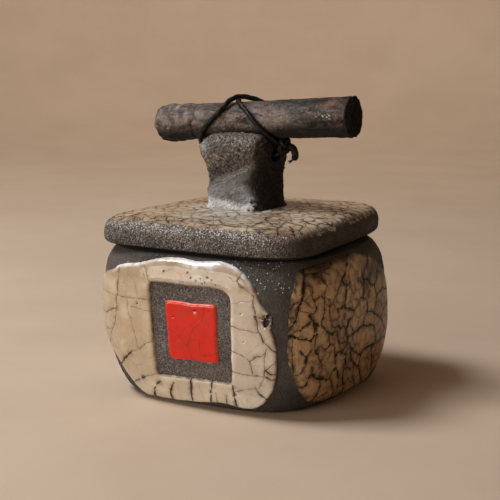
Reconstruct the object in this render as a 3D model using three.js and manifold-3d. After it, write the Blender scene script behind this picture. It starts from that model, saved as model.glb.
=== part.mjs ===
// Hand-built raku box with a lift-off lid, millimetres, +Z up.
// Origin: centre of the base, on the surface the box stands on. The front face
// looks along -Y, the stick handle runs along X.
//
// The clay pieces are slabs and coils luted together: floor, pinched wall, lid,
// locating flange and handle neck. Each face carries its own poured field of
// crackle glaze, the neck carries a charred stick, and one waxed cord lashes
// the stick down through a hole in the neck.
import * as THREE from 'three';
import { mergeVertices } from 'three/addons/utils/BufferGeometryUtils.js';
import Module from 'manifold-3d';

const wasm = await Module();
wasm.setup();

// ---------------------------------------------------------------- dimensions
const RIM_HEIGHT = 65.6; // table to the top of the box rim
const FLOOR_THICKNESS = 8.3;
const FLOOR_HALF = 37.0; // half width of the luted floor slab
const JOINT = 0.3; // slip joint between clay pieces
const LID_BOTTOM = 66.0; // underside of the lid slab
const LID_HALF = 50.0; // half width of the lid slab
const LID_POWER = 5.9; // squareness of the lid outline
const LID_EDGE_TOP = 76.9; // clay surface where the lid's top edge begins
const LID_DOME = 2.5; // rise of the lid from that edge to its middle
const FLANGE_HALF = 36.4; // locating ring under the lid, outside
const FLANGE_INNER = 32.0;
const FLANGE_BOTTOM = 58.6;
const NECK_BOTTOM = 79.9;
const CORD_RADIUS = 0.95;
const CORD_HOLE_RADIUS = 2.9;
const CORD_HOLE_Z = 102.6;
const STICK_RADIUS = 8.25;
const STICK_LEFT = new THREE.Vector3(-48, 0, 114.5);
const STICK_RIGHT = new THREE.Vector3(50, 0, 119.9);
const SADDLE_CLEARANCE = 0.35;
const GLAZE_INNER = 0.55; // glaze underside above the clay
const GLAZE_OUTER = 1.25; // glaze face above the clay

// Half width of the clay outside the box, by height.
const WALL_Z = [0, 0.8, 2.6, 7.9, 16.4, 27.6, 39.4, 50, 56, 60.5, 63.4, 65, 65.6];
const WALL_HALF = [43.0, 45.0, 46.9, 49.5, 52.1, 53.9, 54.4, 54.3, 53.2, 51.4, 49.4, 47.6, 46.0];
// Squareness of the plan outline, by height.
const POWER_Z = [0, 30, 65.6];
const WALL_POWER = [3.65, 3.65, 3.1];
// How far each hand-made corner wanders: front left, front right, back right, back left.
const CORNERS = [[-1, -1], [1, -1], [1, 1], [-1, 1]];
const BASE_WANDER = [[1.3, 0.8], [-1.6, 2.8], [4.5, -0.6], [-3.9, -2.0]];
const RIM_WANDER = [[-1.7, -1.6], [1.5, 1.0], [-2.5, -1.0], [1.9, 1.1]];
const LID_WANDER = [[-0.7, -1.8, 0.1], [-0.3, 0.8, -0.8], [-3.0, -0.9, 1.1], [3.2, 1.5, -0.3]];

// Glaze outlines on the wall: [angle round the box in degrees, height].
const FRONT_OUTLINE = [
  [-119.4, 2.0], [-113.6, 1.8], [-101, 1.7], [-88.3, 1.7], [-76, 2.0], [-64.7, 2.2], [-55.7, 3.6], [-52.5, 6.9],
  [-51.5, 10.3], [-50.6, 17.1], [-50.6, 26.1], [-51.2, 32], [-53.9, 43.6], [-58, 49.9], [-60.2, 56.5], [-63.6, 60.8],
  [-70.2, 63.7], [-88.7, 63.6], [-101, 63], [-114.4, 59.8], [-121.1, 59], [-125.1, 55.9], [-132, 53.8], [-137, 51],
  [-140, 46], [-141, 39], [-140, 31.5], [-136.8, 26.4], [-132.5, 23.4], [-128.6, 19.1], [-125.4, 14.5], [-123.6, 9.5], [-121.7, 5.2],
];
const WINDOW_OUTLINE = [
  [-106.6, 13.2], [-96, 13.9], [-85.7, 14.3], [-76, 14.5], [-68.0, 14.5], [-67.7, 26], [-67.9, 37.5], [-68.2, 48],
  [-69.0, 52.2], [-72.1, 54.3], [-79, 54.5], [-85.7, 54.1], [-95, 53.4], [-104.2, 52.6], [-104.1, 43], [-104.2, 33.1], [-105.2, 23],
];
const WINDOW_CENTRE = [-86.5, 34];
const RED_OUTLINE = [[-97.6, 21.3], [-73.9, 22.7], [-74.2, 46.7], [-97.9, 46.6]];
const RED_CENTRE = [-85.9, 34.3];
const RIGHT_OUTLINE = [
  [-42.5, 61.2], [-44.5, 55.8], [-46.1, 46.9], [-46.9, 34], [-46.4, 26], [-43.7, 17.4], [-39.2, 9.3], [-34.3, 4.6],
  [-24, 2.6], [-12.2, 1.8], [4, 1.7], [16.7, 2.2], [24, 5.3], [33.8, 11.4], [38.5, 22], [40, 34], [37.5, 44], [31, 50],
  [26.4, 53.9], [19, 58.5], [13.8, 60.9], [7.1, 61.6], [0, 63], [-5.6, 63.6], [-25.7, 63], [-35, 62.6],
];
const BACK_OUTLINE = [
  [47, 20], [46, 34], [48, 46], [53, 56], [64, 62], [82, 63.4], [100, 62.6], [116, 61.5], [126, 56], [131, 46],
  [132, 32], [130, 18], [123, 7], [110, 2.8], [90, 2.1], [70, 2.4], [56, 6.4],
];
const LEFT_OUTLINE = [
  [142, 22], [140, 36], [142, 48], [147, 57], [160, 62.3], [180, 63.2], [196, 62.5], [205, 60], [210, 52], [212, 40],
  [212, 28], [210, 16], [204, 6.5], [192, 2.5], [174, 2.0], [158, 2.4], [148, 8],
];

// Handle neck sections: height, centre x, half width x, half width y, squareness, front right pinch.
const NECK = [
  [79.9, -1.1, 14.0, 14.0, 5.0, 0], [83, -1.3, 13.7, 13.7, 4.7, 0.3], [87, -1.7, 13.6, 13.4, 4.3, 2.2], [91, -2.0, 13.7, 13.2, 4.0, 3.4],
  [95, -2.2, 14.1, 13.2, 4.1, 2.8], [99, -2.4, 14.8, 13.5, 4.4, 1.4], [103, -2.5, 15.6, 13.8, 4.8, 0.4], [107, -2.7, 16.2, 14.0, 5.0, 0],
  [109.4, -2.7, 15.7, 13.5, 4.6, 0], [111, -2.5, 14.1, 11.9, 4.2, 0], [111.7, -2.3, 11.6, 9.4, 4.0, 0],
];

// ------------------------------------------------------------------- helpers
const clamp = (v, a, b) => Math.min(b, Math.max(a, v));

// Monotone cubic through a table.
function table(xs, ys) {
  const n = xs.length;
  const h = [], d = [], m = new Array(n).fill(0);
  for (let i = 0; i < n - 1; i++) {
    h.push(xs[i + 1] - xs[i]);
    d.push((ys[i + 1] - ys[i]) / h[i]);
  }
  m[0] = d[0];
  m[n - 1] = d[n - 2];
  for (let i = 1; i < n - 1; i++) {
    if (d[i - 1] * d[i] > 0) {
      const a = 2 * h[i] + h[i - 1], b = h[i] + 2 * h[i - 1];
      m[i] = (a + b) / (a / d[i - 1] + b / d[i]);
    }
  }
  return (x) => {
    const q = clamp(x, xs[0], xs[n - 1]);
    let i = 0;
    while (i < n - 2 && q > xs[i + 1]) i++;
    const t = (q - xs[i]) / h[i];
    return (1 + 2 * t) * (1 - t) ** 2 * ys[i] + t * (1 - t) ** 2 * h[i] * m[i]
      + t * t * (3 - 2 * t) * ys[i + 1] + t * t * (t - 1) * h[i] * m[i + 1];
  };
}
const wallHalf = table(WALL_Z, WALL_HALF);
const wallPower = table(POWER_Z, WALL_POWER);

// Bilinear wander of the four corners at (u, v) in -1..1.
function wander(u, v, corners) {
  const out = [0, 0, 0];
  CORNERS.forEach(([a, b], k) => {
    const w = ((1 + u * a) * (1 + v * b)) / 4;
    corners[k].forEach((c, i) => (out[i] += w * c));
  });
  return out;
}
const boxWander = (z) => {
  const s = clamp(z / RIM_HEIGHT, 0, 1);
  return BASE_WANDER.map((c, k) => c.map((v, i) => v * (1 - s) + RIM_WANDER[k][i] * s));
};

// Superellipse point for the lathe angle phi (0 at the front, growing to +X).
function squircle(phi, a, b, n) {
  const c = Math.sin(phi), s = -Math.cos(phi);
  return [a * Math.sign(c) * Math.abs(c) ** (2 / n), b * Math.sign(s) * Math.abs(s) ** (2 / n)];
}

// A turned blank whose every vertex is moved to its hand-formed place.
function turned(profile, segments, place) {
  const blank = new THREE.LatheGeometry(profile.map((p) => new THREE.Vector2(p[0], p[1])), segments);
  const pos = blank.attributes.position;
  for (let k = 0; k < pos.count; k++) {
    const i = Math.floor(k / profile.length) % segments;
    const p = place(profile[k % profile.length], (i / segments) * 2 * Math.PI, i);
    pos.setXYZ(k, p[0], p[1], p[2]);
  }
  return tidy(blank);
}

// Merge shared vertices, drop collapsed faces and turn the faces outward.
function tidy(geometry) {
  geometry.deleteAttribute('normal');
  geometry.deleteAttribute('uv');
  const g = mergeVertices(geometry, 1e-4);
  const src = g.index.array, keep = [];
  for (let i = 0; i < src.length; i += 3) {
    const [a, b, c] = [src[i], src[i + 1], src[i + 2]];
    if (a !== b && b !== c && c !== a) keep.push(a, b, c);
  }
  const p = g.attributes.position;
  let volume = 0;
  const A = new THREE.Vector3(), B = new THREE.Vector3(), C = new THREE.Vector3();
  for (let i = 0; i < keep.length; i += 3) {
    A.fromBufferAttribute(p, keep[i]);
    B.fromBufferAttribute(p, keep[i + 1]);
    C.fromBufferAttribute(p, keep[i + 2]);
    volume += A.dot(B.cross(C)) / 6;
  }
  if (volume < 0) for (let i = 0; i < keep.length; i += 3) [keep[i + 1], keep[i + 2]] = [keep[i + 2], keep[i + 1]];
  g.setIndex(keep);
  g.computeVertexNormals();
  return g;
}

const toSolid = (g) => new wasm.Manifold(new wasm.Mesh({
  numProp: 3,
  vertProperties: new Float32Array(g.attributes.position.array),
  triVerts: new Uint32Array(g.index.array),
}));
function toGeometry(solid) {
  const m = solid.getMesh();
  const g = new THREE.BufferGeometry();
  const xyz = new Float32Array(m.numVert * 3);
  for (let i = 0; i < m.numVert; i++) for (let k = 0; k < 3; k++) xyz[3 * i + k] = m.vertProperties[i * m.numProp + k];
  g.setAttribute('position', new THREE.BufferAttribute(xyz, 3));
  g.setIndex(new THREE.BufferAttribute(new Uint32Array(m.triVerts), 1));
  g.computeVertexNormals();
  return g;
}

// A round bar along a straight axis, as a cutter.
function bar(from, to, radius, sides) {
  const dir = to.clone().sub(from);
  const g = new THREE.CylinderGeometry(radius, radius, dir.length(), sides);
  const turn = new THREE.Quaternion().setFromUnitVectors(new THREE.Vector3(0, 1, 0), dir.clone().normalize());
  g.applyQuaternion(turn);
  const mid = from.clone().add(to).multiplyScalar(0.5);
  g.translate(mid.x, mid.y, mid.z);
  return tidy(g);
}

function cordAlong(points, steps) {
  const section = new THREE.Shape();
  for (let k = 0; k < 8; k++) {
    const a = (k / 8) * 2 * Math.PI;
    const x = CORD_RADIUS * Math.cos(a), y = CORD_RADIUS * Math.sin(a);
    if (k) section.lineTo(x, y);
    else section.moveTo(x, y);
  }
  section.closePath();
  const path = new THREE.CatmullRomCurve3(points.map((p) => new THREE.Vector3(...p)), false, 'centripetal');
  return tidy(new THREE.ExtrudeGeometry(section, { steps, bevelEnabled: false, extrudePath: path }));
}

// ------------------------------------------------------- surface of the wall
// A point on the clay wall at an angle (degrees) and height.
function wallPoint(deg, z) {
  const t = (deg * Math.PI) / 180, n = wallPower(z), w = wallHalf(z);
  const c = Math.cos(t), s = Math.sin(t);
  const r = w / (Math.abs(c) ** n + Math.abs(s) ** n) ** (1 / n);
  const d = wander((r * c) / w, (r * s) / w, boxWander(z));
  return new THREE.Vector3(r * c + d[0], r * s + d[1], z);
}
// The same point, stood off along the outward normal.
function wallSkin(deg, z, off) {
  const p = wallPoint(deg, z);
  const across = wallPoint(deg + 0.5, z).sub(wallPoint(deg - 0.5, z));
  const z0 = Math.max(0.05, z - 0.4), z1 = Math.min(RIM_HEIGHT - 0.05, z + 0.4);
  const up = wallPoint(deg, z1).sub(wallPoint(deg, z0));
  const n = across.cross(up).normalize();
  return p.addScaledVector(n, off).toArray();
}

// Distance from a centre to a closed outline along one direction, on the unrolled wall.
const MM_PER_DEG = 0.95;
function outlineReach(outline, centre, angle, smooth) {
  const flat = outline.map(([d, z]) => new THREE.Vector2((d - centre[0]) * MM_PER_DEG, z - centre[1]));
  let pts = flat;
  if (smooth) {
    const curve = new THREE.CatmullRomCurve3(flat.map((p) => new THREE.Vector3(p.x, p.y, 0)), true, 'centripetal');
    pts = curve.getPoints(flat.length * 6).map((p) => new THREE.Vector2(p.x, p.y));
  }
  const dx = Math.cos(angle), dy = Math.sin(angle);
  let best = 0;
  for (let i = 0; i < pts.length; i++) {
    const a = pts[i], b = pts[(i + 1) % pts.length];
    const ex = b.x - a.x, ey = b.y - a.y;
    const det = ex * dy - ey * dx;
    if (Math.abs(det) < 1e-9) continue;
    const t = (ex * a.y - ey * a.x) / det, s = (dx * a.y - dy * a.x) / det;
    if (t > 0 && s >= -1e-6 && s <= 1 + 1e-6) best = Math.max(best, t);
  }
  return best;
}

// Directions for a glaze field: even all round, with the given corners hit exactly.
function directions(count, corners, centre) {
  const list = Array.from({ length: count }, (_, i) => (i / count) * 2 * Math.PI - Math.PI / 2);
  corners.forEach(([d, z]) => {
    let a = Math.atan2(z - centre[1], (d - centre[0]) * MM_PER_DEG);
    if (a < -Math.PI / 2) a += 2 * Math.PI;
    const k = Math.round(((a + Math.PI / 2) / (2 * Math.PI)) * count) % count;
    list[k] = a;
  });
  return list;
}

// A glaze field that covers a whole outline.
function glazeField(outline, centre, count, rings, smooth, corners = []) {
  const dirs = directions(count, corners, centre);
  const reach = dirs.map((a) => outlineReach(outline, centre, a, smooth));
  const profile = [[0, 0], ...rings.map((r) => [r, 0]), ...rings.slice().reverse().map((r) => [r, 1]), [0, 1]];
  return turned(profile, count, ([r, h], phi, i) => {
    const d = r * reach[i];
    const rim = r === 1 && h === 1 ? 0.25 : 0;
    return wallSkin(
      centre[0] + ((d - rim) * Math.cos(dirs[i])) / MM_PER_DEG,
      centre[1] + (d - rim) * Math.sin(dirs[i]),
      h ? GLAZE_OUTER : GLAZE_INNER,
    );
  });
}

// A glaze field round a bare window.
function glazeFrame(outline, window, centre, count, rings, corners) {
  const dirs = directions(count, corners, centre);
  const outer = dirs.map((a) => outlineReach(outline, centre, a, true));
  const inner = dirs.map((a) => outlineReach(window, centre, a, false));
  const profile = [...rings.map((r) => [1 + r, 0]), ...rings.slice().reverse().map((r) => [1 + r, 1])];
  profile.push(profile[0]);
  return turned(profile, count, ([r, h], phi, i) => {
    const d = inner[i] + (outer[i] - inner[i]) * (r - 1);
    return wallSkin(
      centre[0] + (d * Math.cos(dirs[i])) / MM_PER_DEG,
      centre[1] + d * Math.sin(dirs[i]),
      h ? GLAZE_OUTER : GLAZE_INNER,
    );
  });
}

// ------------------------------------------------------------------ lid form
function lidTop(x, y) {
  const q = LID_HALF - 2.2;
  const m = Math.min(1, (Math.abs(x / q) ** LID_POWER + Math.abs(y / q) ** LID_POWER) ** (1 / LID_POWER));
  const d = wander(clamp(x / LID_HALF, -1, 1), clamp(y / LID_HALF, -1, 1), LID_WANDER);
  return LID_EDGE_TOP + LID_DOME * (1 - m * m) + d[2];
}
function lidPlan(phi, w) {
  const [x, y] = squircle(phi, w, w, LID_POWER);
  const d = wander(x / LID_HALF, y / LID_HALF, LID_WANDER);
  return [x + d[0], y + d[1], d[2]];
}

// -------------------------------------------------------------------- pieces
const bare = () => new THREE.MeshStandardMaterial({ color: 0x4a4744, roughness: 0.9, metalness: 0 });
const cream = () => new THREE.MeshStandardMaterial({ color: 0xc9b48c, roughness: 0.25, metalness: 0 });
const finishes = {
  box_wall: bare(), floor_slab: bare(), lid_slab: bare(), lid_locating_flange: bare(), handle_neck: bare(),
  front_glaze_panel: cream(), right_glaze_panel: cream(), back_glaze_panel: cream(), left_glaze_panel: cream(), lid_top_glaze: cream(),
  red_glaze_square: new THREE.MeshStandardMaterial({ color: 0xc8281c, roughness: 0.2, metalness: 0 }),
  handle_stick: new THREE.MeshStandardMaterial({ color: 0x3d332d, roughness: 0.8, metalness: 0 }),
};
const cordFinish = () => new THREE.MeshStandardMaterial({ color: 0x12110f, roughness: 0.55, metalness: 0 });

const box = new THREE.Group();
const lid = new THREE.Group();
function add(group, name, geometry) {
  const mesh = new THREE.Mesh(geometry, finishes[name] ?? cordFinish());
  mesh.name = name;
  group.add(mesh);
}

// Pinched wall: one ring from the foot to the rolled-in rim.
const wallLevels = [0, 0.8, 2.6, 6, 11, 18, 27.6, 39, 48.5, 55, 59.5, 62.8, 65, RIM_HEIGHT];
const wallProfile = [
  ...wallLevels.map((z) => [wallHalf(z), z, 1]),
  [41.6, RIM_HEIGHT, 0], [39.6, 64.7, 0], [38.8, 62.4, 0], [39.6, 59, 0], [43.4, 54, 0], [46.6, 47, 0], [47.5, 36, 0], [46.2, 23, 0], [41.8, 13, 0], [FLOOR_HALF + JOINT, FLOOR_THICKNESS + 0.5, 0], [FLOOR_HALF + JOINT, 0, 0],
];
wallProfile.push(wallProfile[0]);
function boxPlan(phi, w, z) {
  const [x, y] = squircle(phi, w, w, wallPower(z));
  const d = wander(x / wallHalf(z), y / wallHalf(z), boxWander(z));
  return [x + d[0], y + d[1], z];
}
add(box, 'box_wall', turned(wallProfile, 44, ([w, z], phi) => boxPlan(phi, w, z)));

// Floor slab, let into the wall's foot.
add(box, 'floor_slab', turned(
  [[0, 0], [FLOOR_HALF, 0], [FLOOR_HALF, FLOOR_THICKNESS], [0, FLOOR_THICKNESS]], 44,
  ([w, z], phi) => (w ? boxPlan(phi, w, z) : [0, 0, z]),
));

// Poured glaze fields on the four faces and the red square in the front window.
const windowCorners = [[-106.6, 13.2], [-68.0, 14.5], [-69.0, 52.2], [-72.1, 54.3], [-104.2, 52.6]];
add(box, 'front_glaze_panel', glazeFrame(FRONT_OUTLINE, WINDOW_OUTLINE, WINDOW_CENTRE, 40, [0, 0.36, 0.64, 0.85, 1], windowCorners));
add(box, 'red_glaze_square', glazeField(RED_OUTLINE, RED_CENTRE, 24, [0.5, 1], false, RED_OUTLINE));
const fieldRings = [0.38, 0.62, 0.8, 0.92, 1];
add(box, 'right_glaze_panel', glazeField(RIGHT_OUTLINE, [-3, 33], 32, fieldRings, true));
add(box, 'back_glaze_panel', glazeField(BACK_OUTLINE, [89, 33], 32, fieldRings, true));
add(box, 'left_glaze_panel', glazeField(LEFT_OUTLINE, [177, 33], 32, fieldRings, true));

// Lid slab: flat seat underneath, rounded edge, low dome on top.
const lidProfile = [
  [0, LID_BOTTOM, 0], [30, LID_BOTTOM, 0], [46.8, LID_BOTTOM, 0], [48.6, LID_BOTTOM + 0.3, 0.6], [49.6, LID_BOTTOM + 1.1, 1],
  [50, LID_BOTTOM + 2.5, 1], [50, 74.7, 1], [49.4, 76.2, 1], [47.8, 0, 2], [36, 0, 2], [22, 0, 2], [0, 0, 2],
];
add(lid, 'lid_slab', turned(lidProfile, 48, ([w, z, kind], phi) => {
  const [x, y, dz] = w ? lidPlan(phi, w) : [0, 0, 0];
  return [x, y, kind === 2 ? lidTop(x, y) : z + kind * dz];
}));

// Glaze poured over the lid, stopping at the neck.
const lidRings = [0, 0.35, 0.7, 1];
const lidGlazeProfile = [...lidRings.map((r) => [1 + r, 0]), ...lidRings.slice().reverse().map((r) => [1 + r, 1])];
lidGlazeProfile.push(lidGlazeProfile[0]);
add(lid, 'lid_top_glaze', turned(lidGlazeProfile, 48, ([r, h], phi) => {
  const inner = squircle(phi, 14.5, 14.5, 5);
  const outer = lidPlan(phi, 47.6 - (h && r === 2 ? 0.3 : 0) - 0.5 * Math.sin(5 * phi + 1) * Math.sin(2 * phi));
  const k = r - 1;
  const x = (inner[0] - 1.1) * (1 - k) + outer[0] * k, y = inner[1] * (1 - k) + outer[1] * k;
  return [x, y, lidTop(x, y) + (h ? 0.95 : 0.35)];
}));

// Locating flange: a coil ring luted under the lid, dropping into the mouth.
const flangeProfile = [
  [FLANGE_HALF - 1.2, FLANGE_BOTTOM], [FLANGE_HALF, FLANGE_BOTTOM + 2], [FLANGE_HALF, LID_BOTTOM - JOINT],
  [FLANGE_INNER, LID_BOTTOM - JOINT], [FLANGE_INNER, FLANGE_BOTTOM],
];
flangeProfile.push(flangeProfile[0]);
add(lid, 'lid_locating_flange', turned(flangeProfile, 48, ([w, z], phi) => boxPlan(phi, w, z)));

// Handle neck: a flared clay block, saddled for the stick and pierced for the cord.
const neckRow = (k) => table(NECK.map((r) => r[0]), NECK.map((r) => r[k]));
const [neckX, neckA, neckB, neckN, neckPinch] = [1, 2, 3, 4, 5].map(neckRow);
const neckProfile = [[0, NECK_BOTTOM], ...NECK.map((r) => [1, r[0]]), [0, 111.9]];
const neckBlank = turned(neckProfile, 28, ([w, z], phi) => {
  if (!w) return [neckX(z), 0, z];
  const [x, y] = squircle(phi, neckA(z), neckB(z), neckN(z));
  const k = ((1 + x / neckA(z)) * (1 - y / neckB(z))) / 4;
  const drop = z > 105 ? 2.2 * clamp((-x - 9) / 7, 0, 1) * clamp((z - 105) / 5, 0, 1) : 0;
  return [neckX(z) + x - k * neckPinch(z), y + 0.25 * k * neckPinch(z), z - drop];
});
const axis = STICK_RIGHT.clone().sub(STICK_LEFT).normalize();
const saddle = bar(
  STICK_LEFT.clone().addScaledVector(axis, -10), STICK_RIGHT.clone().addScaledVector(axis, 10), STICK_RADIUS + SADDLE_CLEARANCE, 24,
);
const hole = bar(new THREE.Vector3(-40, 0, CORD_HOLE_Z), new THREE.Vector3(40, 0, CORD_HOLE_Z), CORD_HOLE_RADIUS, 12);
add(lid, 'handle_neck', toGeometry(toSolid(neckBlank).subtract(toSolid(saddle)).subtract(toSolid(hole))));

// Charred stick lying in the saddle, a little knobbly, cut square at the right.
const STICK_LENGTH = STICK_RIGHT.distanceTo(STICK_LEFT);
const stickRows = [
  [0, 0], [5.6, 0.2], [7.4, 1.2], [8.05, 4], [8.2, 12], [8.0, 22], [8.1, 32], [7.9, 42], [8.05, 52], [8.15, 64], [8.2, 76], [8.2, 88], [8.25, 95],
  [8.1, STICK_LENGTH - 0.6], [7.5, STICK_LENGTH], [0, STICK_LENGTH],
];
const stickSide = new THREE.Vector3(0, 1, 0);
const stickUp = axis.clone().cross(stickSide);
add(lid, 'handle_stick', turned(stickRows, 16, ([r, s], phi) => STICK_LEFT.clone()
  .addScaledVector(axis, s)
  .addScaledVector(stickSide, r * Math.cos(phi))
  .addScaledVector(stickUp, r * Math.sin(phi))
  .toArray()));

// Lashing cord: twice through the hole, twice over the stick, crossing on top.
function around(x, deg, rho) {
  const t = (deg * Math.PI) / 180;
  const zc = STICK_LEFT.z + ((x - STICK_LEFT.x) / (STICK_RIGHT.x - STICK_LEFT.x)) * (STICK_RIGHT.z - STICK_LEFT.z);
  return [x, -rho * Math.sin(t), zc + rho * Math.cos(t)];
}
const H = CORD_HOLE_Z;
const cordRoute = [
  [16.3, -0.6, 104.3], [15.2, -1.1, 103.1], [13.2, -1.25, H], [8, -1.25, H], [0, -1.25, H], [-10, -1.25, H], [-17.5, -1.3, H],
  [-20.6, -1.9, 103.6], [-22.0, -3.6, 106.2], around(-21.4, 142, 9.9), around(-18.9, 117, 9.65), around(-16.4, 100, 9.6), around(-14.1, 86, 9.6),
  around(-11.4, 70, 9.65), around(-9.0, 50, 9.9), around(-7.3, 27, 10.9), around(-5.0, 2, 11.9), around(-1.5, -15, 11.3), around(3.1, -38, 10.1),
  around(6.5, -65, 9.65), around(9.5, -92, 9.6), around(12.0, -118, 9.65), around(14.6, -140, 9.9), [16.6, 5.6, 107.0], [16.4, 3.6, 104.4],
  [14.8, 1.8, 102.9], [12.5, 1.25, H], [0, 1.25, H], [-12, 1.25, H], [-18, 1.3, H],
  [-20.8, 1.9, 103.6], [-22.2, 3.8, 106.2], around(-21.8, -142, 9.9), around(-19.5, -117, 9.65), around(-17, -98, 9.6), around(-14.2, -78, 9.6),
  around(-11.0, -55, 9.6), around(-8.2, -30, 9.6), around(-5.2, 0, 9.55), around(-2.4, 30, 9.6), around(1.3, 52, 9.6), around(4.7, 72, 9.6),
  around(7.6, 92, 9.6), around(11.0, 117, 9.75), around(13.9, 140, 10.0), [15.4, -4.0, 108.6], [15.9, -2.7, 107.9],
];
add(lid, 'lashing_cord', cordAlong(cordRoute, 76));

// Overhand knot on the right of the neck, with its two short tails.
const knot = new THREE.SphereGeometry(1, 12, 8);
knot.scale(2.4, 2.7, 2.6);
knot.translate(17.2, 0.6, 107.0);
add(lid, 'cord_knot', tidy(knot));
add(lid, 'cord_tail_a', cordAlong([[19.5, 1.9, 108.8], [21.4, 3.0, 108.2], [22.8, 3.9, 105.6], [23.0, 4.3, 102.2], [21.7, 3.4, 99.6]], 8));
add(lid, 'cord_tail_b', cordAlong([[18.9, -1.2, 104.9], [19.3, -1.9, 102.8], [19.0, -2.3, 100.4], [18.2, -2.4, 98.4]], 6));

const part = new THREE.Group();
part.add(box, lid);

export default part;
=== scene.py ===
import math

import bpy
import numpy as np
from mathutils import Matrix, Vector, geometry, kdtree


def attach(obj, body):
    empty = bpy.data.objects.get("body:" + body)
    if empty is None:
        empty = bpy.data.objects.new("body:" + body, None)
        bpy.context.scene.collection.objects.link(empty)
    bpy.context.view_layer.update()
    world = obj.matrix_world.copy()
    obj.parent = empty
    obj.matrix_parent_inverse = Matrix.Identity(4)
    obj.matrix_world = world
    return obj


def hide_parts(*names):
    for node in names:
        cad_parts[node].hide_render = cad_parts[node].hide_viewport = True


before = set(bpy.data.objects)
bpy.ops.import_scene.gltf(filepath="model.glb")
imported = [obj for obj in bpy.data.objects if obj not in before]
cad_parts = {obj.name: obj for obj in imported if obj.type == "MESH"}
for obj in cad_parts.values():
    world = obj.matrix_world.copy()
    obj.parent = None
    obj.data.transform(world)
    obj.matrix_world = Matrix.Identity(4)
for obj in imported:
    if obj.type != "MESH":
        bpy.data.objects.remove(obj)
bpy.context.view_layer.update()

RNG = np.random.default_rng(11)
scene = bpy.context.scene

# ------------------------------------------------------------------ numbers
# Millimetres, the same hand-formed surface as the CAD.
RIM = 65.6
WALL_Z = [0, 0.8, 2.6, 7.9, 16.4, 27.6, 39.4, 50, 56, 60.5, 63.4, 65, 65.6]
WALL_HALF = [43.0, 45.0, 46.9, 49.5, 52.1, 53.9, 54.4, 54.5, 54.1, 52.9, 51.1, 49.2, 47.4]
POWER_Z = [0, 30, 65.6]
WALL_POWER = [3.65, 3.65, 3.1]
CORNERS = np.array([[-1, -1], [1, -1], [1, 1], [-1, 1]], float)
BASE_WANDER = np.array([[1.3, 0.8], [-1.6, 2.8], [4.5, -0.6], [-3.9, -2.0]])
RIM_WANDER = np.array([[-1.7, -1.6], [1.5, 1.0], [-2.5, -1.0], [1.9, 1.1]])
LID_WANDER = np.array([[-0.7, -1.8, 0.1], [-0.3, 0.8, -0.8], [-3.0, -0.9, 1.1], [3.2, 1.5, -0.3]])
LID_BOTTOM, LID_HALF, LID_POWER, LID_EDGE_TOP, LID_DOME = 66.0, 50.0, 5.9, 76.9, 2.5
STICK_LEFT = np.array([-48.0, 0, 114.5])
STICK_RIGHT = np.array([50.0, 0, 119.9])
HOLE_Z = 102.6
NECK = np.array([
    [79.9, -1.1, 14.0, 14.0, 5.0, 0], [83, -1.3, 13.7, 13.7, 4.7, 0.3], [87, -1.7, 13.6, 13.4, 4.3, 2.2], [91, -2.0, 13.7, 13.2, 4.0, 3.4],
    [95, -2.2, 14.1, 13.2, 4.1, 2.8], [99, -2.4, 14.8, 13.5, 4.4, 1.4], [103, -2.5, 15.6, 13.8, 4.8, 0.4], [107, -2.7, 16.2, 14.0, 5.0, 0],
    [109.4, -2.7, 15.7, 13.5, 4.6, 0], [111, -2.5, 14.1, 11.9, 4.2, 0], [111.7, -2.3, 11.6, 9.4, 4.0, 0],
])

# Glaze outlines on the wall: angle round the box in degrees, height.
FRONT_OUTLINE = [
    (-118.7, 1.6), (-113.6, 1.7), (-101, 1.8), (-95, 2.2), (-90, 2.4), (-85, 2.8), (-79, 3.7), (-73, 4.1), (-69, 3.7), (-65, 3.0), (-60, 2.8),
    (-56.7, 3.7), (-53.3, 6.9), (-51.3, 11.5), (-50.3, 16.9), (-50.3, 22.8), (-50.5, 29.6), (-51.4, 34.2), (-52.6, 37.6), (-52.7, 39.8),
    (-52.6, 43.4), (-53.6, 45.6), (-55.4, 47.6), (-56.9, 50.5), (-58.4, 54.2), (-60.3, 57.6), (-63.5, 61), (-66.7, 62.7), (-71.7, 64), (-78, 63.8),
    (-84, 63.4), (-92, 64), (-100, 63.7), (-104, 63), (-110, 61.3), (-113, 60.5), (-117.5, 59.8), (-122, 58.7), (-125.7, 56.5), (-132, 54.3),
    (-137, 51), (-140, 46), (-141, 39), (-140, 31.5), (-136.8, 26.4), (-132.5, 22.6), (-130, 19.2), (-127, 13.7), (-124.7, 9.2), (-122, 4.2),
]
WINDOW_OUTLINE = [
    (-105.7, 14.4), (-104.9, 13.7), (-96, 13.8), (-85.7, 14.2), (-76, 14.4), (-68.6, 14.5), (-67.8, 15.2), (-67.6, 26), (-67.7, 37.5), (-67.8, 47),
    (-68.3, 50.3), (-70, 52.4), (-74.3, 53.5), (-79, 53.7), (-85.7, 53.4), (-95, 53.5), (-104.0, 53.3), (-104.9, 52.4), (-105.1, 43), (-105, 33),
    (-105.3, 23),
]
RED_OUTLINE = [
    (-97.0, 21.9), (-85.5, 22.1), (-74.0, 22.5), (-73.3, 23.2), (-73.5, 35), (-73.9, 46.2), (-74.6, 46.9), (-80, 46.8), (-84.6, 46.4), (-90, 46.8),
    (-97.5, 46.5), (-98.2, 45.8), (-97.9, 35), (-97.5, 22.6),
]
RIGHT_OUTLINE = [
    (-42.5, 61.2), (-44.5, 55.8), (-46.1, 46.9), (-46.9, 34), (-46.4, 26), (-43.7, 17.4), (-39.2, 9.3), (-34.3, 4.6), (-24, 2.6), (-12.2, 1.8),
    (4, 1.7), (16.7, 2.2), (24, 5.3), (33.8, 11.4), (38.5, 22), (40, 34), (37.5, 44), (31, 50), (26.4, 53.9), (19, 58.5), (13.8, 60.9),
    (7.1, 61.6), (0, 63), (-5.6, 63.6), (-15, 63.2), (-25.7, 63), (-35, 62.6),
]
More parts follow.
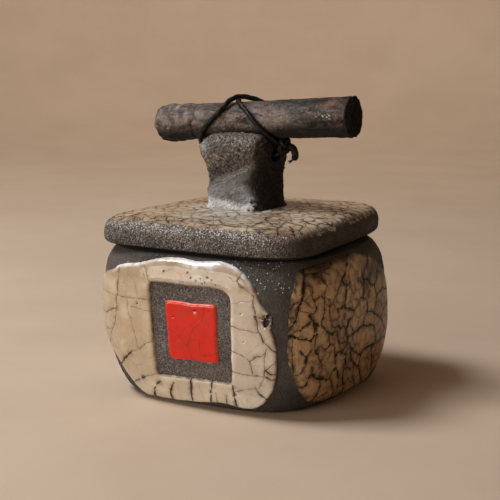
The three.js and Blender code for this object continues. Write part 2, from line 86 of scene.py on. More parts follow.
BACK_OUTLINE = [
    (47, 20), (46, 34), (48, 46), (53, 56), (64, 62), (82, 63.4), (100, 62.6), (116, 61.5), (126, 56), (131, 46), (132, 32), (130, 18), (123, 7),
    (110, 2.8), (90, 2.1), (70, 2.4), (56, 6.4),
]
LEFT_OUTLINE = [
    (142, 22), (140, 36), (142, 48), (147, 57), (160, 62.3), (180, 63.2), (196, 62.5), (205, 60), (210, 52), (212, 40), (212, 28), (210, 16),
    (204, 6.5), (192, 2.5), (174, 2.0), (158, 2.4), (148, 8),
]

# Crackle lines: strength, then angle and height along the line.
FRONT_CRACKS = [
    (1.2, [(-121.3, 57.5), (-121.5, 51), (-121.7, 46.5), (-122.7, 44.2), (-122.8, 40.5), (-123.7, 36.5), (-124.7, 33.3), (-127, 30.1), (-129.5, 26.8), (-131, 22)]),
    (0.9, [(-134, 46), (-126, 45.5), (-121.3, 45.5), (-116.7, 45.5), (-112, 45.8), (-104.5, 46)]),
    (1.3, [(-123.3, 39.6), (-125.3, 39.2), (-128.7, 37.4), (-132, 36.2), (-137, 36.8)]),
    (0.8, [(-116.7, 45.4), (-116.5, 38.7), (-115.3, 36.9), (-114.8, 32.4), (-113.7, 28.3), (-113.3, 23.5)]),
    (0.8, [(-111.3, 49.2), (-111.7, 43.7)]),
    (0.8, [(-108.7, 59.8), (-105.7, 54.2), (-104.5, 53)]),
    (0.7, [(-117.3, 56.4), (-115.3, 54.6), (-113, 52.4), (-111.3, 49.2)]),
    (0.8, [(-114.7, 41.9), (-110.7, 41.5), (-104.6, 41)]),
    (2.0, [(-127.2, 14.6), (-126.3, 15.1), (-123.3, 17.4), (-121, 19), (-119.3, 20.5), (-117.3, 22.1)]),
    (0.9, [(-117.3, 22.1), (-113.7, 23.3), (-108.7, 26.9), (-104.6, 28.7)]),
    (1.9, [(-123.3, 6.9), (-119.7, 8.5), (-117.3, 9.6), (-114, 11.2)]),
    (1.0, [(-114, 11.2), (-110, 12.6), (-105.6, 14.3)]),
    (2.4, [(-114, 1), (-112.3, 4.2), (-110, 7.4), (-108, 9.2), (-105.7, 10.5)]),
    (2.4, [(-102.8, 1.4), (-102, 5.5), (-100, 8.3), (-98.2, 10.8)]),
    (1.4, [(-58.7, 53.7), (-58.7, 47.8), (-58, 42.8), (-56.7, 37.8), (-55, 33.7), (-52.7, 31), (-49.8, 28.4)]),
    (1.1, [(-63.3, 60.4), (-64.5, 56.5), (-61.7, 54.2), (-58.6, 51.6)]),
    (0.45, [(-75, 59.2), (-70.3, 59.2), (-66.7, 57.8), (-64.5, 56.5)]),
    (0.8, [(-67.6, 48.3), (-63.3, 49.2), (-58.7, 49.9)]),
    (1.2, [(-67.6, 39.2), (-63.3, 38.3), (-59, 37.4), (-56.7, 37.4)]),
    (1.2, [(-67.5, 29.2), (-65, 28.3), (-63, 27.4), (-60.3, 25.1), (-59.3, 22.8), (-58.7, 19.2)]),
    (1.2, [(-60, 25.1), (-57.7, 27.1), (-55, 28.3), (-54, 31)]),
    (1.2, [(-54, 31), (-54.7, 27.4), (-54.5, 22.4), (-54.7, 18.7), (-55.7, 15.1), (-56.7, 12.8)]),
    (1.0, [(-67.6, 20.4), (-65, 19.9), (-61.7, 19.4), (-57.7, 19.2), (-54.3, 19)]),
    (1.9, [(-54.3, 19), (-51.7, 17.6), (-49.8, 17.3)]),
    (1.9, [(-57.7, 13.5), (-55.7, 10.8), (-53.7, 9.2), (-51.6, 7)]),
    (1.2, [(-54.2, 21.7), (-52, 24.2), (-50.2, 26)]),
    (1.3, [(-54.2, 21.7), (-52.3, 20.3), (-49.9, 19.8)]),
    (2.3, [(-87.6, 14.3), (-88, 11.5), (-89.3, 7.4), (-89.8, 5.1), (-89.2, 1.9)]),
    (2.4, [(-76.6, 14.4), (-77.7, 10.1), (-78.3, 6.5), (-78.9, 3.2)]),
    (1.3, [(-75.3, 9.2), (-75.3, 5.5), (-75, 3.6)]),
    (1.4, [(-70.3, 8.7), (-70.2, 5.1), (-70, 3.4)]),
    (2.3, [(-67.2, 14.4), (-66.7, 11.9), (-66.2, 6.9), (-65, 2.8)]),
    (0.45, [(-96.4, 13.6), (-96, 9), (-96.7, 5), (-96.2, 1.9)]),
    (0.5, [(-61.5, 12.5), (-60.8, 8), (-61.4, 2.6)]),
    (0.9, [(-66.5, 11), (-61.5, 12.5), (-57.7, 13.5)]),
    (0.45, [(-83.2, 14.2), (-83.4, 9.5), (-82.6, 6), (-82.8, 2.8)]),
    (0.9, [(-137, 36.8), (-138, 43), (-134, 46), (-134.5, 52.7)]),
    (1.0, [(-127, 30.1), (-133, 29.2), (-139, 31)]),
]
RED_CRACKS = [
    (1.0, [(-97.6, 35), (-95, 33.7), (-91.7, 31.9), (-87.7, 28.3), (-85, 22.2)]),
    (1.0, [(-87.7, 28.3), (-84.7, 35.1), (-80, 40.1), (-78.5, 46.8)]),
    (0.6, [(-91.7, 31.9), (-88.6, 35.6), (-84.7, 37.6), (-79, 43.0)]),
    (0.5, [(-87.7, 28.3), (-83.5, 31.6), (-77, 33.5)]),
    (0.8, [(-85, 22.4), (-81, 24.6), (-73.6, 26.9)]),
    (0.8, [(-84.7, 35.1), (-81.7, 30.5), (-81, 24.6)]),
]
RIGHT_CRACKS = [
    (2, [(-39.8, 61.6), (-40.8, 55.2), (-41.1, 53.7), (-41.4, 51.4), (-41.9, 49.4), (-42.7, 47.5), (-43.1, 45.5), (-43.9, 42.8), (-44.8, 40.4), (-46.2, 38.4)]),
    (1, [(-46, 48.2), (-45.2, 48.5), (-43.7, 49.2), (-42.1, 49.4)]),
    (1, [(-46.5, 43.4), (-45.9, 43.3), (-44.1, 42.8)]),
    (1.4, [(-40.0, 59.9), (-37.1, 59.6), (-33.0, 59.9), (-28.8, 60.5), (-25.7, 60.9), (-25.0, 63)]),
    (1, [(-31.7, 59.8), (-32.2, 57.6), (-29.8, 54.2)]),
    (1, [(-40.5, 55.9), (-38.9, 55.3), (-37.3, 54.4), (-37.0, 52.8), (-37.4, 51.3), (-36.3, 48.9)]),
    (1, [(-34.1, 50.4), (-36.3, 48.9), (-35.6, 46.2), (-36.3, 44.3), (-38.2, 43.5)]),
    (1, [(-34.1, 50.4), (-33.1, 50.5), (-31.3, 49.8)]),
    (1.4, [(-5.2, 63.9), (-10.3, 62.2), (-13.4, 59.9), (-18.4, 55.9), (-21.5, 52.8), (-23.2, 51.0), (-24.6, 48.8), (-26.0, 47.4), (-26.6, 46.3)]),
    (1.5, [(-31.3, 50.0), (-31.3, 47.2), (-31.5, 44.7), (-32.2, 42.0), (-33.0, 40.1), (-32.7, 38.4), (-30.8, 36.5), (-29.0, 35.1), (-27.7, 34.0), (-25.8, 34.0), (-24.5, 34.6)]),
    (1.3, [(-26.6, 46.3), (-25.0, 45.2), (-24.0, 43.7), (-22.9, 41.8)]),
    (2, [(-23.3, 43.6), (-18.6, 43.1), (-13.3, 41.6), (-8.4, 39.8)]),
    (2, [(-15.9, 53.5), (-16.3, 50.2), (-16.8, 47.8), (-17.8, 45.4), (-18.2, 43.0)]),
    (2, [(-20.2, 54.6), (-18.2, 53.0), (-16.3, 51.9), (-13.8, 52.7), (-12.5, 53.7)]),
    (1.2, [(-12.5, 53.7), (-12.1, 50.7), (-10.2, 48.7), (-9.3, 47.2)]),
    (2.4, [(0.3, 53.7), (1.8, 51.3), (1.6, 48.3), (1.3, 43.6)]),
    (2, [(1.8, 51.3), (6.3, 51.0), (8.4, 48.9), (11.8, 47.6), (13.5, 47.3)]),
    (1.5, [(17.8, 52.9), (17.0, 50.4), (15.5, 48.5), (13.5, 47.3)]),
    (1.6, [(-4.2, 42.5), (-3.0, 44.0), (1.3, 43.6), (4.6, 42.6), (6.1, 40.1), (5.4, 37.2), (3.3, 35.4), (1.3, 33.6)]),
    (1.5, [(5.4, 37.2), (11.0, 35.7), (16.8, 33.2), (20.6, 31.0)]),
    (1, [(-30.2, 46.6), (-28.5, 45.4), (-28.8, 43.8), (-27.9, 41.6), (-27.3, 39.0), (-27.2, 36.5)]),
    (1.5, [(-14.2, 36.7), (-15.0, 34.7), (-16.7, 33.3)]),
    (2.4, [(-38.5, 43.8), (-37.4, 41.6), (-36.3, 40.2), (-35.2, 39.2)]),
    (1.4, [(-37.4, 41.6), (-38.5, 40.5), (-39.8, 39.5), (-41.4, 38.7), (-42.5, 38.0), (-44.5, 37.4)]),
    (1.3, [(-19.5, 38.2), (-19.0, 36.0), (-16.7, 33.8)]),
    (1.4, [(-24.9, 36.0), (-23.2, 36.0), (-20.9, 35.2), (-18.5, 35.0), (-16.1, 33.5)]),
    (1, [(12.6, 61.4), (9.2, 58.6), (6.5, 56.5), (0.3, 53.7)]),
    (1, [(-29.8, 54.2), (-30.6, 52.3), (-31.3, 50.0)]),
    (1, [(-27.3, 46.0), (-28.8, 48.3), (-31.3, 49.8)]),
    (2, [(-47.2, 35.4), (-45.5, 35.8), (-44.0, 35.2), (-42.0, 34.0), (-40.0, 33.5), (-37.9, 33.2), (-36.7, 34.9), (-36.1, 36.9), (-35.4, 39.0)]),
    (1.3, [(-45.1, 35.4), (-45.0, 28.4), (-44.6, 23.2), (-44.0, 18.4)]),
    (1, [(-46.7, 26.1), (-44.8, 26.1)]),
    (2, [(-35.7, 33.1), (-35.8, 30.6), (-35.7, 28.0), (-34.0, 26.2)]),
    (1.4, [(-35.6, 38.8), (-35.1, 35.9), (-35.7, 33.1)]),
    (2, [(-42.0, 29.4), (-40.5, 27.3), (-39.7, 26.5), (-38.5, 27.6), (-37.2, 28.7), (-35.8, 30.6)]),
    (2, [(-39.6, 26.5), (-39.2, 25.6), (-39.3, 24.3), (-39.5, 22.2), (-40.4, 20.5)]),
    (1.3, [(-44.9, 18.2), (-43.4, 18.5), (-41.9, 18.9), (-40.4, 20.5)]),
    (2, [(-41.8, 13.3), (-38.6, 13.0), (-38.1, 13.8), (-37.7, 15.6), (-36.7, 17.2), (-36.0, 18.4), (-35.7, 19.7), (-36.6, 21.4)]),
    (2.2, [(-36.2, 18.1), (-32.2, 15.6), (-28.5, 14.3), (-25.8, 13.8), (-25.1, 15.0), (-24.3, 16.9), (-22.2, 18.2)]),
    (2, [(-31.9, 15.3), (-31.0, 12.5), (-30.6, 10.3), (-30.9, 8.4), (-32.0, 6.7), (-33.7, 4)]),
    (1.5, [(-25.6, 13.9), (-24.1, 12.9), (-21.5, 9.4), (-19.4, 6.5), (-17.7, 2)]),
    (2.2, [(-28.1, 34.1), (-28.5, 33.3), (-28.5, 31.2), (-27.8, 30.2), (-25.8, 29.1), (-24.6, 27.8), (-23.6, 23.2), (-21.6, 17.8), (-18.3, 12.9), (-16.4, 8.5), (-14.6, 2)]),
    (2, [(-35.7, 28.2), (-33.0, 29.8), (-31.4, 28.6), (-29.1, 28.6), (-28.0, 29.8)]),
    (1.4, [(-34.0, 26.2), (-33.4, 24.5), (-32.4, 23.0), (-31.3, 21.0), (-32.2, 15.6)]),
    (1.5, [(-23.4, 33.2), (-21.5, 29.2), (-20.9, 27.4), (-19.9, 25.4), (-17.9, 23.6)]),
    (2.1, [(-16.3, 33.7), (-15.6, 30.9), (-14.3, 28.1), (-12.1, 25.6), (-9.7, 23.5), (-7.1, 21.6), (-2.0, 19.8), (1.4, 18.4)]),
    (2, [(-14.4, 28), (-15.5, 26.6), (-16.5, 25.1), (-17.9, 23.6), (-20.6, 25.1), (-22.1, 25.0), (-23.6, 23.6)]),
    (2, [(-17.9, 23.6), (-14.8, 21.6), (-14.7, 19.7), (-13.5, 17.7), (-11.9, 15.7)]),
    (1.4, [(-14.8, 21.6), (-10.3, 22.3), (-9.0, 23)]),
    (2, [(-11.9, 15.7), (-13.9, 15.0), (-14.5, 13.3), (-9.6, 6.5), (-8.0, 1.6)]),
    (1.3, [(-11.9, 15.7), (-7.1, 13.9), (-2.4, 14.9)]),
    (2, [(-10.3, 22.3), (-9.4, 19.4), (-6.6, 17.5), (-2.4, 14.9), (1.7, 13.3), (4.9, 10.3), (15.1, 2.3)]),
    (1.7, [(-15.0, 30.0), (-12.7, 30.1), (-8.9, 30.4), (-5.9, 30.6), (-2.8, 31.3), (1.4, 31.8), (3.7, 30.9)]),
    (1.7, [(1.3, 33.6), (3.7, 30.9), (9.1, 30.5), (13.8, 28.4), (15.4, 25.4), (16.2, 22.5), (14.5, 20.4)]),
    (2, [(27.2, 21.2), (21.7, 20.8), (18.2, 20.2), (10.2, 20.6), (4.9, 20.4), (1.4, 18.4), (1.3, 16.2), (1.7, 13.3)]),
    (1.6, [(12.0, 20.4), (13.9, 17.1), (19.5, 8.4), (22.7, 2.9)]),
    (1.3, [(-4.2, 14.4), (-2.4, 11.4), (-1.6, 8.9), (0.0, 7.6), (9.2, 1.2)]),
    (1.5, [(20.6, 31.0), (23.4, 29.5), (24.4, 26.9), (29.8, 23.3), (29.4, 20.7)]),
    (1.2, [(-22.3, 29.6), (-20.3, 28.5), (-17.0, 28.1), (-14.9, 29)]),
    (1.2, [(-24.5, 34.6), (-23.4, 33.1)]),
    (1.2, [(-8.4, 39.8), (-4.2, 42.5)]),
    (1.2, [(-8.4, 39.8), (-10.5, 37.6), (-14.2, 36.7)]),
    (1.3, [(20.6, 31), (27, 35), (33, 36), (40, 37)]),
    (1.4, [(13.5, 47.3), (16, 42), (15, 38), (11, 35.7)]),
    (1.3, [(16, 42), (24, 43.5), (31, 42), (38, 43)]),
    (1.4, [(27.2, 21.2), (33, 19), (38, 18)]),
    (1.3, [(29.8, 23.3), (33, 28), (33, 36)]),
    (1.2, [(17.8, 52.9), (21, 56), (20, 58)]),
    (1.3, [(17.8, 52.9), (24, 50), (24, 43.5)]),
]
LID_CRACKS = [
    [(-35.5, -46.6), (-34.9, -45.3), (-33.4, -40), (-34.2, -33)], [(-29.6, -44.8), (-28.3, -47.2)],
    [(-30.9, -42.6), (-29.5, -42.8), (-26.9, -44.9), (-24.4, -47.4)], [(-20.6, -43.7), (-22.0, -40.3), (-22.1, -37.9), (-20.5, -38.0), (-18.4, -38.8)],
    [(-18.2, -38.4), (-16.4, -37.3), (-13.7, -37.5), (-10.7, -38.4)], [(-17.6, -38.5), (-15.1, -42.6), (-11.8, -46.0)],
    [(-17.7, -47.2), (-18.4, -44.7), (-16.5, -45.3), (-14.1, -44.5), (-12.0, -43.0), (-9.5, -43.1), (-7.7, -42.8)],
    [(-7.7, -42.8), (-8.0, -40.1), (-7.8, -38.1), (-7.3, -36.7)], [(-7.7, -42.8), (-5.3, -44.2), (-2.6, -45.4)],
    [(-7.7, -36.1), (-4.6, -36.9), (-2.1, -37.1), (1.1, -37.5), (4.1, -36.8), (6.6, -35.5)],
    [(-4.4, -41.2), (-2.5, -41.8), (0.0, -42.7), (2.9, -42.6), (3.2, -41.6), (3.8, -39.5)],
    [(2.9, -42.6), (5.3, -43.5), (7.3, -44.3), (9.8, -43.8), (11.6, -42.1)], [(-5.5, -48.4), (-3.8, -48.0), (-1.6, -48.4)],
    [(-1.3, -30.6), (0.8, -30.8), (2.8, -31.5), (5.3, -30.1), (6.8, -27.7)],
    [(7.2, -36.4), (9.7, -38.9), (11.4, -40.1), (14.3, -40.3), (17.2, -40.4), (19.4, -40.2)], [(11.8, -42.4), (14.8, -42.7), (17.8, -43.0), (20.7, -42.3)],
    [(19.4, -40.2), (21.8, -39.4), (24.5, -40.9), (24.2, -38.0), (24.9, -34.3), (26.2, -31.7), (27.9, -29.7), (29.2, -27.0)],
    [(17.7, -37.2), (20.3, -36.8), (21.7, -35.3), (24.4, -35.1), (24.8, -32.4)],
    [(17.0, -25.5), (19.5, -26.5), (20.7, -24.4), (21.3, -21.2), (22.5, -18.2), (24.3, -16.2)], [(21.5, -23.2), (23.9, -27.6), (26.5, -30.5)],
    [(23.9, -30.8), (24.1, -28.8), (26.1, -28.1), (27.8, -26.1), (29.8, -24.7)], [(27.7, -30.9), (30.4, -34.1), (32.1, -35.5)],
    [(24.5, -40.9), (26.8, -41.0), (29.2, -40.3), (30.7, -38.1), (33.4, -36.3)], [(27.7, -44.0), (29.9, -43.1), (31.8, -41.7), (34.5, -41.7)],
    [(29.4, -40.6), (30.2, -43.6), (31.1, -46.5)],
    [(31.1, -32.1), (33.3, -32.8), (35.4, -35.5), (35.4, -38.4), (36.3, -40.7), (38.5, -43.9), (40.2, -46.4)],
    [(35.4, -35.5), (33.4, -30.5), (32.6, -26.4), (30.1, -23.4)], [(32.6, -26.4), (35.8, -27.3), (39.0, -28.1), (41.8, -29.0)],
    [(41.8, -29.0), (44.5, -29.9), (47.6, -31.7)], [(36.5, -18.9), (38.7, -20.5), (41.7, -22.7), (43.6, -22.1), (45.1, -22.3)],
    [(43.6, -19.2), (46.4, -25.3)], [(40.6, -37.9), (42.7, -39.3), (44.8, -41.0)], [(43.4, -35.6), (44.8, -36.6), (47.2, -39.6)],
    [(38.2, -33.4), (40.4, -36.0), (43.4, -39.8)], [(43.6, -19.2), (44.4, -15.4), (44.8, -10.7)], [(35.4, -9.6), (37.9, -9.8), (40.2, -8.8), (40.8, -5.2)],
    [(41.8, -29.0), (43.2, -33.6), (43.4, -35.6)], [(20.4, -16.1), (21.3, -13.4), (23.2, -12.4)],
]


# ------------------------------------------------------------------ helpers
def table(xs, ys):
    """Monotone cubic through a table, the same as the CAD's."""
    xs, ys = np.array(xs, float), np.array(ys, float)
    n = len(xs)
    h = np.diff(xs)
    d = np.diff(ys) / h
    m = np.zeros(n)
    m[0], m[-1] = d[0], d[-1]
    for i in range(1, n - 1):
        if d[i - 1] * d[i] > 0:
            a, b = 2 * h[i] + h[i - 1], h[i] + 2 * h[i - 1]
            m[i] = (a + b) / (a / d[i - 1] + b / d[i])

    def at(x):
        x = np.clip(np.asarray(x, float), xs[0], xs[-1])
        i = np.clip(np.searchsorted(xs, x, side="right") - 1, 0, n - 2)
        t = (x - xs[i]) / h[i]
        return ((1 + 2 * t) * (1 - t) ** 2 * ys[i] + t * (1 - t) ** 2 * h[i] * m[i]
                + t * t * (3 - 2 * t) * ys[i + 1] + t * t * (t - 1) * h[i] * m[i + 1])
    return at


wall_half = table(WALL_Z, WALL_HALF)
wall_power = table(POWER_Z, WALL_POWER)


def smooth(x, a, b):
    t = np.clip((x - a) / (b - a), 0, 1)
    return t * t * (3 - 2 * t)


def unit(v):
    return v / np.maximum(np.linalg.norm(v, axis=-1, keepdims=True), 1e-12)


PERM = np.tile(RNG.permutation(256), 3)
GRAD = unit(RNG.normal(size=(256, 3)))
SPOT = RNG.random((256, 3))


def noise(P, size, seed=0):
    """Gradient noise, about -1 to 1, with features of that size in millimetres."""
    q = np.asarray(P, float) / size + 37.3 * seed + np.array([0.17, 0.71, 0.43])
    i = np.floor(q).astype(int)
    f = q - i
    u = f * f * f * (f * (f * 6 - 15) + 10)
    out = np.zeros(len(q))
    for k in range(8):
        c = np.array([k & 1, (k >> 1) & 1, k >> 2])
        j = (i + c) & 255
        g = GRAD[PERM[PERM[PERM[j[:, 0]] + j[:, 1]] + j[:, 2]]]
        w = np.prod(np.where(c, u, 1 - u), axis=1)
        out += w * ((f - c) * g).sum(1)
    return out * 1.7


def cells(P, size, seed=0):
    """Distance to the nearest scattered spot, in cells, and that spot's own number 0 to 1."""
    q = np.asarray(P, float) / size + 11.9 * seed
    i = np.floor(q).astype(int)
    f = q - i
    best = np.full(len(q), 9.0)
    own = np.zeros(len(q))
    for a in (-1, 0, 1):
        for b in (-1, 0, 1):
            for c in (-1, 0, 1):
                o = np.array([a, b, c])
                j = (i + o) & 255
                h = PERM[PERM[PERM[j[:, 0]] + j[:, 1]] + j[:, 2]]
                d = np.linalg.norm(o + SPOT[h] - f, axis=1)
                near = d < best
                best = np.where(near, d, best)
                own = np.where(near, h / 255.0, own)
    return best, own


def wander(u, v, corners):
    w = (1 + u[:, None] * CORNERS[:, 0]) * (1 + v[:, None] * CORNERS[:, 1]) / 4
    return w, corners


def plan(th, w, z):
    """A point at an angle (degrees) on the ring of half width w at height z, corners wandering as on the outside."""
    th, w, z = np.broadcast_arrays(np.asarray(th, float), np.asarray(w, float), np.asarray(z, float))
    t, n, full = np.radians(th), wall_power(z), wall_half(z)
    c, s = np.cos(t), np.sin(t)
    r = w / (np.abs(c) ** n + np.abs(s) ** n) ** (1 / n)
    x, y = r * c, r * s
    k = np.clip(z / RIM, 0, 1)[..., None, None]
    corners = BASE_WANDER * (1 - k) + RIM_WANDER * k
    wt = (1 + (x / full)[..., None] * CORNERS[:, 0]) * (1 + (y / full)[..., None] * CORNERS[:, 1]) / 4
    d = (wt[..., None] * corners).sum(-2)
    return np.stack([x + d[..., 0], y + d[..., 1], z], -1)


def wall(th, z):
    return plan(th, wall_half(z), z)


def wall_normal(th, z):
    across = wall(th + 0.5, z) - wall(th - 0.5, z)
    up = wall(th, np.minimum(RIM - 0.05, z + 0.4)) - wall(th, np.maximum(0.05, z - 0.4))
    return unit(np.cross(across, up))


# The wall rolled out flat: distance round the box at mid height, distance up the profile.
_th = np.arange(-220, 420.01, 0.25)
_arc = np.concatenate([[0], np.cumsum(np.linalg.norm(np.diff(wall(_th, 34.0), axis=0), axis=1))])
_zz = np.linspace(0, RIM, 600)
_up = np.concatenate([[0], np.cumsum(np.hypot(np.diff(_zz), np.diff(wall_half(_zz))))])


def roll_out(pts):
    pts = np.asarray(pts, float)
    return np.stack([np.interp(pts[:, 0], _th, _arc), np.interp(pts[:, 1], _zz, _up)], 1)


def roll_back(pts):
    return np.interp(pts[:, 0], _arc, _th), np.interp(pts[:, 1], _up, _zz)


def lid_wander(x, y):
    u, v = np.clip(x / LID_HALF, -1, 1), np.clip(y / LID_HALF, -1, 1)
    w = (1 + u[:, None] * CORNERS[:, 0]) * (1 + v[:, None] * CORNERS[:, 1]) / 4
    return w @ LID_WANDER


def lid_top(x, y):
    q = LID_HALF - 2.2
    d = lid_wander(x, y)
    m = (np.abs((x - d[:, 0]) / q) ** LID_POWER + np.abs((y - d[:, 1]) / q) ** LID_POWER) ** (1 / LID_POWER)
    roll = np.clip((m - 0.925) / 0.09, 0, 1) ** 2
    over = 30 * np.clip(m - 1, 0, 0.06)
    m = np.minimum(1, m)
    return LID_EDGE_TOP + LID_DOME * (1 - m * m) - 1.3 * roll - over + d[:, 2]


def ring(power, count):
    """Unit superellipse, evenly spaced along its length."""
    t = np.linspace(0, 2 * np.pi, 6001)
    c, s = np.cos(t), np.sin(t)
    r = 1 / (np.abs(c) ** power + np.abs(s) ** power) ** (1 / power)
    p = np.stack([r * c, r * s], 1)
    l = np.concatenate([[0], np.cumsum(np.linalg.norm(np.diff(p, axis=0), axis=1))])
    at = np.arange(count) / count * l[-1]
    return np.stack([np.interp(at, l, p[:, 0]), np.interp(at, l, p[:, 1])], 1)


def catmull(P, per=12, closed=False):
    P = np.asarray(P, float)
    if closed:
        Q = np.concatenate([P[-1:], P, P[:2]])
        n = len(P)
    else:
        Q = np.concatenate([2 * P[:1] - P[1:2], P, 2 * P[-1:] - P[-2:-1]])
        n = len(P) - 1
    out = []
    for i in range(n):
        p0, p1, p2, p3 = Q[i:i + 4]
        t0 = 0.0
        t1 = t0 + max(np.linalg.norm(p1 - p0), 1e-6) ** 0.5
        t2 = t1 + max(np.linalg.norm(p2 - p1), 1e-6) ** 0.5
        t3 = t2 + max(np.linalg.norm(p3 - p2), 1e-6) ** 0.5
        t = np.linspace(t1, t2, per, endpoint=False)[:, None]
        a1 = (t1 - t) / (t1 - t0) * p0 + (t - t0) / (t1 - t0) * p1
        a2 = (t2 - t) / (t2 - t1) * p1 + (t - t1) / (t2 - t1) * p2
        a3 = (t3 - t) / (t3 - t2) * p2 + (t - t2) / (t3 - t2) * p3
        b1 = (t2 - t) / (t2 - t0) * a1 + (t - t0) / (t2 - t0) * a2
        b2 = (t3 - t) / (t3 - t1) * a2 + (t - t1) / (t3 - t1) * a3
        out.append((t2 - t) / (t2 - t1) * b1 + (t - t1) / (t2 - t1) * b2)
    if not closed:
        out.append(P[-1:])
    return np.concatenate(out)


def resample(P, step, closed=False):
    P = np.asarray(P, float)
    Q = np.concatenate([P, P[:1]]) if closed else P
    l = np.concatenate([[0], np.cumsum(np.linalg.norm(np.diff(Q, axis=0), axis=1))])
    n = max(2, int(round(l[-1] / step)) + (0 if closed else 1))
    at = np.linspace(0, l[-1], n, endpoint=not closed)
    return np.stack([np.interp(at, l, Q[:, k]) for k in range(P.shape[1])], 1)


def inside(pts, loop):
    x, y = pts[:, 0], pts[:, 1]
    hit = np.zeros(len(pts), bool)
    for (ax, ay), (bx, by) in zip(loop, np.roll(loop, -1, 0)):
        if ay == by:
            continue
        crosses = (ay > y) != (by > y)
        hit ^= crosses & (x < (bx - ax) * (y - ay) / (by - ay) + ax)
    return hit


def nearest(samples, pts):
    """For each point: distance to the nearest sample and which one."""
    tree = kdtree.KDTree(len(samples))
    for i, p in enumerate(samples):
        tree.insert((p[0], p[1], 0.0), i)
    tree.balance()
    dist, who = np.empty(len(pts)), np.empty(len(pts), int)
    for k, p in enumerate(pts):
        _, who[k], dist[k] = tree.find((p[0], p[1], 0.0))
    return dist, who


def grid_quads(rows, cols, wrap_rows=False):
    r = np.arange(rows if wrap_rows else rows - 1)[:, None]
    c = np.arange(cols)[None, :]
    a = r * cols + c
    b = r * cols + (c + 1) % cols
    up = ((r + 1) % rows) * cols
    return np.stack([a, b, up + (c + 1) % cols, up + c], -1).reshape(-1, 4)


def piece(name, verts, quads=None, tris=None, body="box", node=None, material=None, attrs=None):
    """One closed mesh, millimetres in, riding on its body and standing for its CAD node."""
    quads = np.zeros((0, 4), int) if quads is None else np.asarray(quads, int).reshape(-1, 4)
    tris = np.zeros((0, 3), int) if tris is None else np.asarray(tris, int).reshape(-1, 3)
    me = bpy.data.meshes.new(name)
    me.vertices.add(len(verts))
    me.vertices.foreach_set("co", (np.asarray(verts, float) / 1000).astype(np.float32).ravel())
    loops = np.concatenate([quads.ravel(), tris.ravel()]).astype(np.int32)
    me.loops.add(len(loops))
    me.loops.foreach_set("vertex_index", loops)
    starts = np.concatenate([np.arange(len(quads)) * 4, len(quads) * 4 + np.arange(len(tris)) * 3]).astype(np.int32)
    me.polygons.add(len(starts))
    me.polygons.foreach_set("loop_start", starts)
    me.polygons.foreach_set("use_smooth", np.ones(len(starts), bool))
    me.update(calc_edges=True)
    for key, values in (attrs or {}).items():
        a = me.attributes.new(key, "FLOAT", "POINT")
        a.data.foreach_set("value", np.asarray(values, np.float32))
    me.validate()
    ob = bpy.data.objects.new(name, me)
    scene.collection.objects.link(ob)
    me.materials.append(material)
    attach(ob, body)
    if node:
        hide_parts(node)
    return ob


# ---------------------------------------------------------------- materials
def rgb(r, g, b):
    """An 8-bit screen colour as linear light."""
    def lin(v):
        v /= 255.0
        return v / 12.92 if v <= 0.04045 else ((v + 0.055) / 1.055) ** 2.4
    return (lin(r), lin(g), lin(b), 1.0)


